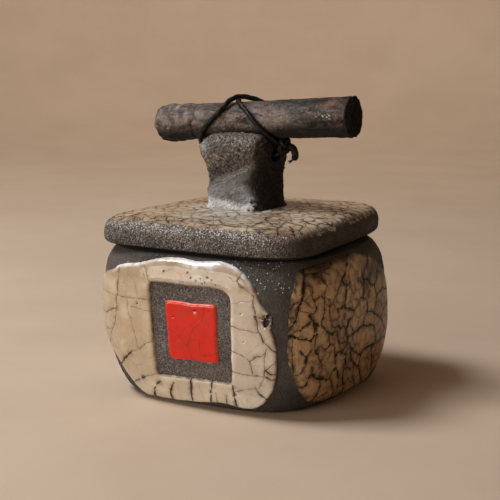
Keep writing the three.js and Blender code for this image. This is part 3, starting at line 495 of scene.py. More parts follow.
class Nodes:
    def __init__(self, name):
        self.mat = bpy.data.materials.new(name)
        self.mat.use_nodes = True
        self.tree = self.mat.node_tree
        self.tree.nodes.clear()
        out = self.new("ShaderNodeOutputMaterial")
        self.bsdf = self.new("ShaderNodeBsdfPrincipled")
        self.tree.links.new(self.bsdf.outputs[0], out.inputs[0])
        self.pos = self.new("ShaderNodeTexCoord").outputs["Object"]

    def new(self, kind):
        return self.tree.nodes.new(kind)

    def put(self, socket, value):
        if isinstance(value, bpy.types.NodeSocket):
            self.tree.links.new(value, socket)
        elif value is not None:
            socket.default_value = value

    def stretch(self, x, y, z, turn=(0, 0, 0)):
        n = self.new("ShaderNodeMapping")
        self.put(n.inputs["Vector"], self.pos)
        n.inputs["Rotation"].default_value = turn
        n.inputs["Scale"].default_value = (x, y, z)
        return n.outputs[0]

    def noise(self, scale, detail=2.0, rough=0.5, twist=0.0, vec=None):
        n = self.new("ShaderNodeTexNoise")
        self.put(n.inputs["Vector"], vec or self.pos)
        n.inputs["Scale"].default_value = scale
        n.inputs["Detail"].default_value = detail
        n.inputs["Roughness"].default_value = rough
        n.inputs["Distortion"].default_value = twist
        return n.outputs[0]

    def spots(self, scale, vec=None, feature="F1"):
        n = self.new("ShaderNodeTexVoronoi")
        n.feature = feature
        self.put(n.inputs["Vector"], vec or self.pos)
        n.inputs["Scale"].default_value = scale
        if feature == "DISTANCE_TO_EDGE":
            return n.outputs["Distance"], None
        s = self.new("ShaderNodeSeparateColor")
        self.put(s.inputs[0], n.outputs["Color"])
        return n.outputs["Distance"], s.outputs[0]

    def pushed(self, scale, amount, turn=(0, 0, 0), vec=None):
        """Positions pushed about by a noise of that scale, by about that many metres."""
        n = self.new("ShaderNodeTexNoise")
        self.put(n.inputs["Vector"], vec or self.pos)
        n.inputs["Scale"].default_value = scale
        n.inputs["Detail"].default_value = 2.0
        m = self.new("ShaderNodeVectorMath")
        m.operation = "MULTIPLY_ADD"
        self.put(m.inputs[0], n.outputs["Color"])
        m.inputs[1].default_value = (amount, amount, amount)
        self.put(m.inputs[2], self.stretch(1, 1, 1, turn))
        return m.outputs[0]

    def attr(self, name):
        n = self.new("ShaderNodeAttribute")
        n.attribute_name = name
        return n.outputs["Fac"]

    def math(self, op, a, b=None, clamp=False):
        n = self.new("ShaderNodeMath")
        n.operation = op
        n.use_clamp = clamp
        self.put(n.inputs[0], a)
        self.put(n.inputs[1], b)
        return n.outputs[0]

    def times(self, a, b):
        return self.math("MULTIPLY", a, b)

    def step(self, fac, lo, hi, a=0.0, b=1.0):
        n = self.new("ShaderNodeMapRange")
        n.interpolation_type = "SMOOTHSTEP"
        self.put(n.inputs[0], fac)
        for i, v in enumerate((lo, hi, a, b)):
            n.inputs[i + 1].default_value = v
        return n.outputs[0]

    def mix(self, fac, a, b, blend="MIX"):
        n = self.new("ShaderNodeMix")
        n.data_type = "RGBA"
        n.blend_type = blend
        self.put(n.inputs[0], fac)
        self.put(n.inputs[6], a)
        self.put(n.inputs[7], b)
        return n.outputs[2]

    def bump(self, height, strength, distance, normal=None):
        n = self.new("ShaderNodeBump")
        n.inputs["Strength"].default_value = strength
        n.inputs["Distance"].default_value = distance
        self.put(n.inputs["Height"], height)
        if normal is not None:
            self.put(n.inputs["Normal"], normal)
        return n.outputs[0]

    def done(self, colour, rough, normal, specular=0.5):
        self.put(self.bsdf.inputs["Base Color"], colour)
        self.put(self.bsdf.inputs["Roughness"], rough)
        self.put(self.bsdf.inputs["Normal"], normal)
        self.bsdf.inputs["Specular IOR Level"].default_value = specular
        return self.mat


def clay_material(name, dark, mid, pale, contrast=0.5, size=1000, depth=0.0008, warm=rgb(112, 84, 60), painted_spark_size=760, pits=0.0):
    """Smoked, grogged clay: clouded grey with irregular pale grit and dark pits between the grains; painted white
    glints, and painted light and shade from the shade attribute.
    """
    n = Nodes(name)
    cloud = n.noise(48, 5, 0.62, 0.4)
    colour = n.mix(n.step(cloud, 0.32, 0.68), dark, mid)
    colour = n.mix(n.step(n.noise(95, 3, 0.6), 0.56, 0.8, 0, 0.3), colour, warm)
    grit = n.math("ADD", n.times(n.noise(size, 3, 0.66), 0.8), n.times(n.noise(2.3 * size, 2, 0.6), 0.2))
    busy = n.math("SUBTRACT", 1.0, n.attr("calm"))
    light = n.times(n.step(grit, 0.535, 0.6), busy)
    gap = n.times(n.step(grit, 0.47 + 0.12 * pits, 0.4 + 0.2 * pits), busy)
    soot = tuple(0.12 * v for v in dark[:3]) + (1,)
    colour = n.mix(n.times(light, 0.6 * contrast), colour, pale)
    colour = n.mix(n.times(gap, min(1.0, 0.25 + 0.6 * contrast)), colour, soot)
    dist, own = n.spots(size * 0.92, n.pushed(1.1 * size, 2.2 / size, (0.3, 0.2, 0.5)))
    salt = n.times(n.times(n.step(dist, 0.5, 0.18), n.step(own, 0.5, 0.9)), busy)
    dist, own = n.spots(size * 0.8, n.pushed(1.0 * size, 2.4 / size, (0.9, 0.4, 0.1)))
    pepper = n.times(n.times(n.step(dist, 0.55, 0.2 + 0.6 * pits), n.step(own, 0.45 - pits, 0.7 - pits)), busy)
    colour = n.mix(n.times(pepper, min(1.0, 0.3 + 0.6 * contrast)), colour, soot)
    colour = n.mix(n.times(salt, contrast), colour, pale)
    # painted glints: small white spots stand in for highlights on glassy grains, more of them where the per-vertex
    # share asks
    dist, own = n.spots(painted_spark_size, n.pushed(1.2 * painted_spark_size, 1.2 / painted_spark_size))
    share = n.attr("painted_spark_share")
    glint = n.times(n.step(dist, 0.44, 0.2), n.step(n.math("ADD", own, n.times(share, 0.34)), 1.0, 1.04))
    colour = n.mix(n.math("MULTIPLY", glint, n.times(share, 4.0), True), colour, rgb(250, 251, 255))
    # blue-grey clay, and a painted ridge highlight where the neck asks for it
    colour = n.mix(n.attr("blue_grey_and_painted_ridge_light"), colour, rgb(154, 156, 161))
    colour = n.mix(n.attr("rust"), colour, rgb(150, 96, 60))
    colour = n.mix(n.attr("pale"), colour, rgb(236, 240, 248))
    # painted light and shade: the shade attribute brightens or darkens the clay
    tone = n.math("ADD", n.attr("shade"), 1.0)
    grey = n.new("ShaderNodeCombineColor")
    for i in range(3):
        n.put(grey.inputs[i], tone)
    colour = n.mix(1.0, colour, grey.outputs[0], "MULTIPLY")
    rough = n.math("SUBTRACT", n.step(grit, 0.42, 0.58, 0.9, 0.7), n.math("ADD", n.times(salt, 0.22), n.times(glint, 0.25)))
    relief = n.math("ADD", grit, n.times(n.math("SUBTRACT", salt, pepper), 0.09))
    normal = n.bump(n.times(relief, n.math("SUBTRACT", 1.0, n.times(n.attr("calm"), 0.75))), 1.0, depth * 4)
    return n.done(colour, rough, normal, 0.45)


def glaze_material(name, light, deep, smoke, line, specular=0.5, gloss=0.16, stain=0.3, soot=rgb(92, 66, 42), rim=rgb(84, 62, 44), tint_colour=rgb(104, 70, 42)):
    n = Nodes(name)
    cloud = n.noise(60, 4, 0.55, 0.5)
    colour = n.mix(n.step(cloud, 0.3, 0.72), light, deep)
    haze = n.noise(26, 5, 0.6, 0.8)
    colour = n.mix(n.step(haze, 0.5, 0.8, 0, 0.5), colour, smoke)
    fleck = n.noise(640, 3, 0.6)
    colour = n.mix(n.step(fleck, 0.56, 0.72, 0, 0.3), colour, smoke)
    colour = n.mix(n.step(n.noise(1300, 3, 0.7), 0.5, 0.66, 0, 0.22), colour, tuple(0.62 * v for v in smoke[:3]) + (1,))
    colour = n.mix(n.attr("tint"), colour, tint_colour)
    colour = n.mix(n.attr("ash"), colour, rgb(160, 156, 147))
    # milky glaze, with painted sheen in places; then whiter glaze and painted highlights
    colour = n.mix(n.attr("milk_and_painted_shine"), colour, rgb(226, 220, 206))
    colour = n.mix(n.attr("blush"), colour, rgb(190, 96, 70))
    colour = n.mix(n.attr("white_and_painted_highlight"), colour, rgb(238, 244, 252))
    halo = n.times(n.attr("halo"), n.step(n.noise(420, 2), 0.3, 0.75, 0.4 * stain, 1.3 * stain))
    colour = n.mix(halo, colour, soot)
    thin = n.attr("edge")
    colour = n.mix(n.times(n.times(thin, n.math("SUBTRACT", 1.0, n.attr("white_and_painted_highlight"))), n.step(n.noise(500, 3), 0.3, 0.7, 0.25, 0.95)), colour, rim)
    crack = n.times(n.step(n.attr("crack"), 0.1, 0.5), n.attr("ink"))
    colour = n.mix(crack, colour, line)
    colour = n.mix(n.attr("pit"), colour, (0.006, 0.004, 0.003, 1))
    rough = n.math("ADD", n.step(n.noise(240, 4, 0.6), 0.35, 0.75, gloss, gloss + 0.16), n.math("ADD", n.times(crack, 0.4), n.times(thin, 0.3)))
    wave = n.math("ADD", n.times(n.noise(230, 2), 0.8), n.times(n.noise(1100, 2), 0.12))
    normal = n.bump(wave, 0.35, 0.0005)
    return n.done(colour, rough, normal, specular)


CLAY_BOX = clay_material("smoked_clay_box", rgb(74, 71, 70), rgb(98, 94, 92), rgb(178, 175, 174), 0.85, 1650, 0.0009, painted_spark_size=1250)
CLAY_INSIDE = clay_material("smoked_clay_inside", rgb(52, 50, 48), rgb(80, 76, 72), rgb(128, 121, 112), 0.3, 900, 0.0004)
CLAY_LID = clay_material("smoked_clay_lid", rgb(112, 102, 95), rgb(162, 152, 145), rgb(246, 250, 255), 1.15, 1750, 0.0026, painted_spark_size=1150, pits=0.05)
CLAY_NECK = clay_material("smoked_clay_neck", rgb(109, 100, 94), rgb(152, 142, 135), rgb(236, 226, 217), 0.8, 1050, 0.0024)
CRACKLE = glaze_material("crackle_glaze", rgb(200, 185, 161), rgb(184, 166, 140), rgb(158, 147, 127), rgb(44, 28, 17), gloss=0.1, stain=0.62)
CRACKLE_RIGHT = glaze_material("crackle_glaze_right", rgb(221, 188, 147), rgb(199, 164, 122), rgb(148, 123, 95), rgb(14, 9, 6), specular=0.25, gloss=0.28, stain=1.45, soot=rgb(52, 33, 19), rim=rgb(46, 34, 25), tint_colour=rgb(40, 26, 15))
RED = glaze_material("red_glaze", rgb(222, 39, 24), rgb(210, 32, 19), rgb(200, 33, 22), rgb(112, 13, 9), gloss=0.14, stain=0.1, rim=rgb(222, 92, 70))
LID_GLAZE = glaze_material("lid_glaze", rgb(204, 186, 160), rgb(184, 160, 130), rgb(140, 120, 96), rgb(14, 9, 6), gloss=0.28, stain=0.85)


# --------------------------------------------------------------- glaze fields
def crackle(loop, cell, seed, low=0.9, high=1.9, drop=0.08):
    """A net of crackle lines inside a loop: the edges between scattered cells."""
    rng = np.random.default_rng(seed)
    lo, hi = loop.min(0) - 2 * cell, loop.max(0) + 2 * cell
    xs, ys = np.arange(lo[0], hi[0], cell), np.arange(lo[1], hi[1], cell * 0.87)
    pts = np.array([(x + (0.5 * cell if j % 2 else 0), y) for j, y in enumerate(ys) for x in xs])
    pts += rng.uniform(-0.46, 0.46, pts.shape) * cell
    v, _, faces, *_ = geometry.delaunay_2d_cdt([Vector(p) for p in pts], [], [], 0, 1e-6)
    v = np.array([tuple(p) for p in v])
    centre, shared = [], {}
    for k, f in enumerate(faces):
        a, b, c = v[f[0]], v[f[1]], v[f[2]]
        d = 2 * (a[0] * (b[1] - c[1]) + b[0] * (c[1] - a[1]) + c[0] * (a[1] - b[1]))
        if abs(d) < 1e-9:
            centre.append((a + b + c) / 3)
        else:
            sa, sb, sc = a @ a, b @ b, c @ c
            centre.append(np.array([(sa * (b[1] - c[1]) + sb * (c[1] - a[1]) + sc * (a[1] - b[1])) / d,
                                    (sa * (c[0] - b[0]) + sb * (a[0] - c[0]) + sc * (b[0] - a[0])) / d]))
        for i in range(3):
            shared.setdefault(tuple(sorted((f[i], f[(i + 1) % 3]))), []).append(k)
    lines = []
    for pair in shared.values():
        if len(pair) == 2 and rng.random() > drop:
            a, b = centre[pair[0]], centre[pair[1]]
            if 0.4 < np.linalg.norm(a - b) < 2.2 * cell:
                lines.append((a, b))
    if not lines:
        return []
    mid = np.array([(a + b) / 2 for a, b in lines])
    keep = inside(mid, loop)
    out = []

    def bend(P):
        q = np.c_[P, np.full(len(P), 6.0)]
        return P + 0.3 * cell * np.stack([noise(q, 1.5 * cell, seed + 61), noise(q, 1.5 * cell, seed + 62)], 1) \
            + 0.12 * cell * np.stack([noise(q, 0.5 * cell, seed + 63), noise(q, 0.5 * cell, seed + 64)], 1)

    for (a, b), m, k in zip(lines, mid, keep):
        if k:
            s = low + (high - low) * np.clip(0.5 + 0.8 * noise(np.array([[m[0], m[1], 3.0]]), 3 * cell, seed)[0], 0, 1) * rng.uniform(0.75, 1.2)
            out.append((s, bend(a + (b - a) * np.linspace(0, 1, 7)[:, None])))
    return out


def glaze_field(name, node, body, material, loops, place, cracks, pits=(), craters=(), tint=None, thick=1.15, roll=1.3, sink=0.3,
                step=0.95, seed=1, line_width=0.185, groove=0.16, wobble=0.2, beads=(), roll_at=None, edge_width=1.0, spread=0.75, rag=1.0):
    """A poured glaze field in a flat layout: rounded thick edges, crackle lines cut into it, closed underneath.
    loops: the outline and any bare windows. place(points, height) puts the layout on its clay."""
    rng = np.random.default_rng(seed)
    points, edges = [], []

    def chain(P, closed=False):
        start = len(points)
        points.extend(P.tolist())
        n = len(P)
        edges.extend((start + i, start + (i + 1) % n) for i in range(n if closed else n - 1))

    fine = []
    for k, loop in enumerate(loops):
        L = resample(catmull(loop, 14, True), 0.55, True)
        if wobble:
            t3 = np.c_[L, np.full(len(L), 5.0 + k)]
            out = np.roll(L, -1, 0) - np.roll(L, 1, 0)
            nrm = unit(np.stack([out[:, 1], -out[:, 0]], 1))
            L = L + nrm * (wobble * noise(t3, 3.2, seed) + 0.25 * wobble * noise(t3, 1.6, seed + 1))[:, None]
        fine.append(L)
    area = [0.5 * np.sum(L[:, 0] * np.roll(L[:, 1], -1) - np.roll(L[:, 0], -1) * L[:, 1]) for L in fine]
    fine = [L if a > 0 else L[::-1] for L, a in zip(fine, area)]
    for k, L in enumerate(fine):
        chain(L, True)
        tang = np.roll(L, -2, 0) - np.roll(L, 2, 0)
        into = unit(np.stack([-tang[:, 1], tang[:, 0]], 1)) * (1 if k == 0 else -1)
        for d in (0.1, 0.28, 0.55, 0.9, 1.4, 2.1):
            ringed = L + into * d
            # a ring is left out where it comes too near its own loop, in tight corners
            near, _ = nearest(L, ringed)
            ok = near > 0.85 * d
            start = None
            run = []
            for i in range(len(ringed) + 1):
                if i < len(ringed) and ok[i]:
                    run.append(ringed[i])
                else:
                    if len(run) > 2:
                        chain(np.array(run))
                    run = []

    line_pts, line_hw, line_ink = [], [], []
    for strength, P in cracks:
        P = np.asarray(P, float)
        P = resample(catmull(P, 10) if len(P) > 2 else P, 0.5)
        n = len(P)
        tang = np.gradient(P, axis=0)
        nrm = unit(np.stack([-tang[:, 1], tang[:, 0]], 1))
        t = np.linspace(0, 1, n)
        p3 = np.c_[P, np.full(n, 9.0)]
        hold = np.clip(np.minimum(t, 1 - t) * n * 0.5 / 2.0, 0, 1)
        P = P + nrm * (hold * (0.34 * noise(p3, 2.6, seed + 5) + 0.2 * noise(p3, 1.1, seed + 6)))[:, None]
        hw = line_width * strength * np.clip(1 + rag * (0.5 * noise(p3, 3.0, seed + 7) + 0.35 * noise(p3, 1.1, seed + 8)), 0.4, 1.6)
        chain(P)
        chain(P + nrm * hw[:, None])
        chain(P - nrm * hw[:, None])
        dark = np.clip((0.16 + 0.2 * (1 - rag) + 0.4 * strength) * (1 + rag * (0.55 * noise(p3, 4.0, seed + 9) + 0.3 * noise(p3, 1.4, seed + 10))), 0.1, 1.0)
        line_pts.append(P)
        line_hw.append(hw)
        line_ink.append(dark)
        line_pts.append(0.5 * (P[1:] + P[:-1]))
        line_hw.append(0.5 * (hw[1:] + hw[:-1]))
        line_ink.append(dark[1:])
    line_pts = np.concatenate(line_pts) if line_pts else np.zeros((0, 2))
    line_hw = np.concatenate(line_hw) if line_hw else np.zeros(0)
    line_ink = np.concatenate(line_ink) if line_ink else np.zeros(0)

    for (x, y, r) in pits:
        points.append([x, y])
        for f in (0.55, 1.0, 1.5):
            a = np.arange(9) / 9 * 2 * np.pi
            chain(np.stack([x + f * r * np.cos(a), y + f * r * np.sin(a)], 1), True)
    for (x, y, r, _t) in beads:
        points.append([x, y])
        for f in (0.5, 1.0, 1.5):
            a = np.arange(8) / 8 * 2 * np.pi + f
            chain(np.stack([x + f * r * np.cos(a), y + f * r * np.sin(a)], 1), True)
    for (x, y, rx, ry, *_r) in craters:
        for f in (0.35, 0.7, 0.9, 1.05, 1.25):
            a = np.arange(26) / 26 * 2 * np.pi
            chain(np.stack([x + f * rx * np.cos(a), y + f * ry * np.sin(a)], 1), True)

    lo, hi = fine[0].min(0), fine[0].max(0)
    xs, ys = np.arange(lo[0], hi[0], step), np.arange(lo[1], hi[1], step * 0.87)
    G = np.array([(x + (0.5 * step if j % 2 else 0), y) for j, y in enumerate(ys) for x in xs])
    G += rng.uniform(-0.18, 0.18, G.shape) * step
    keep = inside(G, fine[0])
    for L in fine[1:]:
        keep &= ~inside(G, L)
    G = G[keep]
    far, _ = nearest(np.array(points), G)
    points.extend(G[far > 0.33 * step].tolist())

    v, _, faces, *_ = geometry.delaunay_2d_cdt([Vector(p) for p in points], edges, [], 0, 1e-4)
    v = np.array([(p[0], p[1]) for p in v])
    tri = np.array([f for f in faces if len(f) == 3], int)
    mid = v[tri].mean(1)
    keep = inside(mid, fine[0])
    for L in fine[1:]:
        keep &= ~inside(mid, L)
    tri = tri[keep]
    a, b, c = v[tri[:, 0]], v[tri[:, 1]], v[tri[:, 2]]
    turn = (b[:, 0] - a[:, 0]) * (c[:, 1] - a[:, 1]) - (b[:, 1] - a[:, 1]) * (c[:, 0] - a[:, 0])
    tri = np.where(turn[:, None] < 0, tri[:, ::-1], tri)[np.abs(turn) > 1e-7]
    used = np.unique(tri)
    back = np.full(len(v), -1)
    back[used] = np.arange(len(used))
    v, tri = v[used], back[tri]
    N = len(v)

    rims = np.concatenate([resample(L, 0.12, True) for L in fine])
    d_edge, _ = nearest(rims, v)
    p3 = np.c_[v, np.full(N, 2.0)]
    roll = roll if roll_at is None else roll_at(v)
    q = np.clip(d_edge / roll, 0, 1)
    full = thick * (1 + 0.14 * noise(p3, 14, seed + 11))
    h = -sink + (full + sink) * np.sqrt(np.maximum(0, 1 - (1 - q) ** 2))
    h += 0.16 * thick * np.exp(-(((d_edge - 1.5 * roll) / (0.9 * roll)) ** 2))
    h += smooth(d_edge, 0, 1.5) * (0.07 * noise(p3, 6.5, seed + 12) + 0.035 * noise(p3, 2.6, seed + 13))
    crack, halo, ink = np.zeros(N), np.zeros(N), np.zeros(N)
    if len(line_pts):
        d, who = nearest(line_pts, v)
        crack = np.clip(1.04 - d / line_hw[who], 0, 1)
        ink = line_ink[who]
        halo = np.exp(-np.maximum(0, d - line_hw[who]) / spread) * np.clip(line_hw[who] / 0.3, 0.2, 1.2) * ink
        h -= groove * np.clip((line_hw[who] - 0.08) / 0.22, 0.0, 1.3) * crack * smooth(d_edge, 0.2, 0.9)
        # the glaze swells a little beside a wide line
        h += 0.03 * np.clip((line_hw[who] - 0.08) / 0.22, 0, 1) * np.exp(-(((d - line_hw[who] - 0.35) / 0.3) ** 2)) * smooth(d_edge, 0.4, 1.2)
    pit = np.zeros(N)
    for (x, y, r) in pits:
        rr = np.hypot(v[:, 0] - x, v[:, 1] - y) / r
        h += -0.45 * np.exp(-rr ** 2 * 1.4) + 0.1 * np.exp(-((rr - 1.5) / 0.4) ** 2)
        pit = np.maximum(pit, smooth(rr, 1.0, 0.45))
    for (x, y, rx, ry, depth, lip) in craters:
        rr = np.hypot((v[:, 0] - x) / rx, (v[:, 1] - y) / ry) * (1 + 0.45 * noise(p3, 1.0, seed + 20) + 0.25 * noise(p3, 0.5, seed + 21))
        h += -depth * smooth(rr, 1.0, 0.62) + lip * np.exp(-((rr - 1.12) / 0.2) ** 2)
        pit = np.maximum(pit, smooth(rr, 0.98, 0.7))
    for (x, y, r, tall) in beads:
        h += tall * np.exp(-(((v[:, 0] - x) / r) ** 2 + ((v[:, 1] - y) / r) ** 2))
    top = place(v, h)
    bottom = place(v, np.full(N, -sink - 0.4))
    lone = {}
    for f in tri:
        for i in range(3):
            e = (f[i], f[(i + 1) % 3])
            if (e[1], e[0]) in lone:
                del lone[(e[1], e[0])]
            else:
                lone[e] = True
    rim = np.array(list(lone), int).reshape(-1, 2)
    sides = np.stack([rim[:, 1], rim[:, 0], rim[:, 0] + N, rim[:, 1] + N], 1)
    zero = np.zeros(N)
    extra = tint(v, d_edge) if tint else {}
    if len(beads):
        # the bead tops get painted glints
        lit = np.max([np.exp(-(((v[:, 0] - x) / r) ** 2 + ((v[:, 1] - y) / r) ** 2)) for x, y, r, _t in beads], axis=0)
        extra["white_and_painted_highlight"] = np.maximum(extra["white_and_painted_highlight"], np.clip(1.7 * lit, 0, 1))
        extra["tint"] = extra["tint"] * (1 - np.clip(1.4 * lit, 0, 1))
        pit = pit * (1 - np.clip(1.6 * lit, 0, 1))
    attrs = {"crack": crack, "ink": ink, "halo": halo, "pit": pit, "edge": smooth(d_edge, edge_width, 0.1)}
    attrs.update(extra)
    attrs = {k: np.concatenate([x, zero]) for k, x in attrs.items()}
    return piece(name, np.concatenate([top, bottom]), sides, np.concatenate([tri, tri[:, ::-1] + N]), body, node, material, attrs)


def on_wall(v, h):
    th, z = roll_back(v)
    n = wall_normal(th, z)
    return wall(th, z) + n * h[:, None]


def rolled(cracks):
    return [(s, roll_out(P)) for s, P in cracks]


def spot(th, z, r):
    p = roll_out([(th, z)])[0]
    return (p[0], p[1], r)


def front_tint(v, d):
    th, z = roll_back(v)
    p3 = np.c_[v, np.zeros(len(v))]
    ash = np.clip(smooth(z, 22, 3) * (0.55 + 0.5 * noise(p3, 9, 31)), 0, 0.8)
    ash = np.maximum(ash, 0.35 * smooth(z, 53, 58) * smooth(th, -112, -100))
    ash = np.maximum(ash, np.clip(0.5 * smooth(np.abs(th + 133), 10, 2) * (0.8 + 0.6 * noise(p3, 8, 33)), 0, 0.6))
    blush = 0.55 * np.exp(-(((th + 90) / 1.9) ** 2 + ((z - 57.6) / 1.4) ** 2)) + 0.25 * np.exp(-(((th + 93.5) / 2.6) ** 2 + ((z - 54.2) / 0.6) ** 2))
    stain = 1.5 * np.exp(-(((th + 55.2) / 2.1) ** 2 + ((z - 42.8) / 3.0) ** 2)) * np.clip(0.8 + 1.0 * noise(p3, 1.2, 34), 0, 1.5)
    tint = np.clip(np.maximum(stain, 0.25 * smooth(noise(p3, 11, 35), 0.3, 0.9)), 0, 0.95)
    # milky glaze low down and to the right, and a painted highlight under the window's lower left corner
    milk_and_painted_shine = smooth(th, -110, -70) * 0.5 * smooth(z, 56, 46) + 0.6 * smooth(z, 17, 6) + 0.35 * smooth(noise(p3, 8, 36), 0.0, 0.7) + 0.8 * np.exp(-(((th + 101) / 4.2) ** 2 + ((z - 12.2) / 1.5) ** 2))
    milk_and_painted_shine = np.clip(milk_and_painted_shine * (0.8 + 0.4 * noise(p3, 5, 37)), 0, 0.85) * (1 - np.clip(stain, 0, 1)) * (1 - 0.7 * smooth(z, 50, 55))
    ash = ash * (1 - np.clip(stain, 0, 1))
    # painted highlights: along the top lip and a broad patch just below it, and a faint whitening near the right edge
    lip = smooth(d, 2.4 + 0.9 * noise(p3, 3, 45), 0.7) * smooth(z, 53, 57) * smooth(th, -57, -62) * smooth(th, -128, -122) * np.clip(0.8 + 0.7 * noise(p3, 2.2, 46), 0, 1)
    painted_highlight_patch = smooth(d, 5.0 + 1.8 * noise(p3, 2.4, 55), 2.4) * np.exp(-(((th + 81) / 8.5) ** 4)) * smooth(z, 55.5, 58.5) * np.clip(0.75 + 1.1 * noise(p3, 1.5, 56), 0, 1)
    lip = np.maximum(lip, 0.9 * painted_highlight_patch)
    # the tint is also a little darker just below the top lip and on the left
    return {"ash": 0.66 * ash, "blush": np.clip(blush, 0, 1), "tint": np.clip(tint + 0.24 * smooth(z, 51, 56) * smooth(z, 64, 61) + 0.12 * smooth(th, -104, -112) * smooth(z, 14, 24), 0, 0.95), "milk_and_painted_shine": milk_and_painted_shine,
            "white_and_painted_highlight": np.maximum(lip, 0.16 * smooth(th, -71, -64) * smooth(z, 56, 48) * (1 - np.clip(stain, 0, 1)))}


def front_roll(v):
    return 1.3 + 1.7 * smooth(v[:, 1], roll_out([(-90, 57.0)])[0][1], roll_out([(-90, 60.5)])[0][1])


def right_tint(v, d):
    th, z = roll_back(v)
    p3 = np.c_[v, np.zeros(len(v))]
    top = smooth(z + 1.5 * noise(p3, 6, 43), 60.3, 62.3) * smooth(th, 14, -14) + 0.9 * smooth(z + 2 * noise(p3, 3, 48), 53.5, 58.5) * smooth(th, -26, -34)
    burn = np.max([np.exp(-(((th - t0) / r) ** 2 + ((z - z0) / (1.15 * r)) ** 2)) for t0, z0, r in ((-4, 53, 2.0), (1.5, 51.6, 4.6), (5, 48.6, 4.2), (7.5, 45.0, 2.8), (17.5, 50.6, 2.6), (13.5, 54.5, 3.6))], axis=0)
    burn = 0.93 * smooth(burn + 0.35 * noise(p3, 1.9, 49) + 0.2 * noise(p3, 0.9, 53), 0.3, 0.85)
    blot = 0 + 0.7 * np.exp(-(((th + 20) / 6) ** 2 + ((z - 36) / 5) ** 2))
    patch = smooth(noise(p3, 12, 41), 0.1, 0.7)
    # the tint darkens toward the far side of the face, painted shade, and in a band at the far upper right
    tint = np.clip(0.66 * top + 0.62 * smooth(th, -1, 5) * smooth(z, 45, 53) * np.clip(0.75 + 0.8 * noise(p3, 4.0, 57), 0, 1.3) + 0.75 * blot * (0.7 + 0.8 * noise(p3, 3.0, 44)) + 0.18 * patch + 0.3 * smooth(noise(p3, 3.2, 50), 0.05, 0.7) + 0.3 * smooth(th, -4, 24), 0, 0.92)
    return {"tint": np.maximum(tint, burn), "ash": np.clip(0.25 * noise(p3, 10, 42), 0, 0.4) * (1 - burn)}


def plain_tint(v, d):
    th, z = roll_back(v)
    p3 = np.c_[v, np.zeros(len(v))]
    return {"tint": np.clip(0.5 * smooth(noise(p3, 14, 51), 0.15, 0.8), 0, 0.5), "ash": np.clip(smooth(z, 18, 3) * (0.5 + 0.5 * noise(p3, 9, 52)), 0, 0.7)}


def red_tint(v, d):
    th, z = roll_back(v)
    p3 = np.c_[v, np.zeros(len(v))]
    dirty = np.clip(0.25 * smooth(noise(p3, 6, 38), 0.1, 0.8), 0, 0.3)
    # painted glints: a highlight just under the pinhole and along the top edge
    glint = np.exp(-(((th + 83.3) / 0.5) ** 2 + ((z - 42.9) / 0.4) ** 2)) + 0.7 * smooth(z, 45.8, 46.5) * smooth(th, -92, -86) * np.clip(0.3 + noise(p3, 1.5, 39), 0, 1)
    return {"tint": dirty, "milk_and_painted_shine": np.clip(glint, 0, 0.9)}


front_pits = [spot(*s) for s in (
    (-98.5, 58.3, 0.4), (-98.2, 10.8, 0.45), (-86.8, 58.5, 0.35), (-85, 56.9, 0.35), (-79.3, 55.2, 0.3), (-77.3, 57.6, 0.35), (-111.7, 43.7, 0.45),
    (-63.4, 44.6, 0.25), (-118.5, 51.2, 0.22), (-121, 19, 0.5), (-108.2, 20.4, 0.22), (-62.3, 33.2, 0.2), (-83.6, 54.6, 0.22), (-82.3, 56.0, 0.25), (-81.2, 54.4, 0.2),
    (-80.4, 57.0, 0.22), (-78.2, 55.6, 0.25), (-76.0, 54.6, 0.22), (-75.2, 56.9, 0.2), (-73.4, 55.3, 0.22), (-88.4, 55.0, 0.2), (-90.8, 54.3, 0.2))]
crater = roll_out([(-54.3, 41.6), (-53.6, 44.3)])
front_loop = roll_out(FRONT_OUTLINE)
glaze_field("front_glaze_crackle", "front_glaze_panel", "box", CRACKLE, [front_loop, roll_out(WINDOW_OUTLINE)], on_wall,
            rolled(FRONT_CRACKS) + crackle(front_loop, 8.0, 29, 0.22, 0.5, 0.3), front_pits, [(crater[0][0], crater[0][1], 1.5, 2.0, 1.5, 0.35), (crater[1][0], crater[1][1], 1.0, 0.9, 1.3, 0.2), (crater[0][0] - 1.5, crater[0][1] + 1.2, 0.6, 0.5, 0.8, 0.15)],
            front_tint, seed=3, roll_at=front_roll, line_width=0.215, spread=0.9, beads=[
                (crater[0][0] + dx, crater[0][1] + dy, r, t) for dx, dy, r, t in (
                    (1.5, 1.1, 0.34, 0.5), (1.75, -0.5, 0.36, 0.5), (1.2, -2.1, 0.42, 0.5), (-0.3, -2.5, 0.42, 0.45), (1.7, 3.4, 0.32, 0.4), (-1.75, 1.0, 0.3, 0.35), (2.1, 2.0, 0.32, 0.45), (-1.5, -1.7, 0.28, 0.3), (0.1, 1.0, 0.26, 0.5))])
glaze_field("red_glaze_tile", "red_glaze_square", "box", RED, [roll_out(RED_OUTLINE)], on_wall, rolled(RED_CRACKS),
            [spot(-83.5, 43.7, 0.55), spot(-78.8, 25.0, 0.3), spot(-94.2, 40.1, 0.25)], seed=5, thick=0.85, roll=1.0, line_width=0.26, groove=0.04, wobble=0.16, step=0.8, edge_width=0.7, tint=red_tint)
right_pits = [spot(*s) for s in ((-29.5, 54.3, 0.3), (-28.7, 48.6, 0.3), (-23.6, 39.7, 0.28), (-32.2, 42.0, 0.3), (-36.3, 48.9, 0.28), (-35.6, 46.2, 0.28), (-39.2, 25.6, 0.25), (-12.5, 53.2, 0.3))]
right_loop = roll_out(RIGHT_OUTLINE)
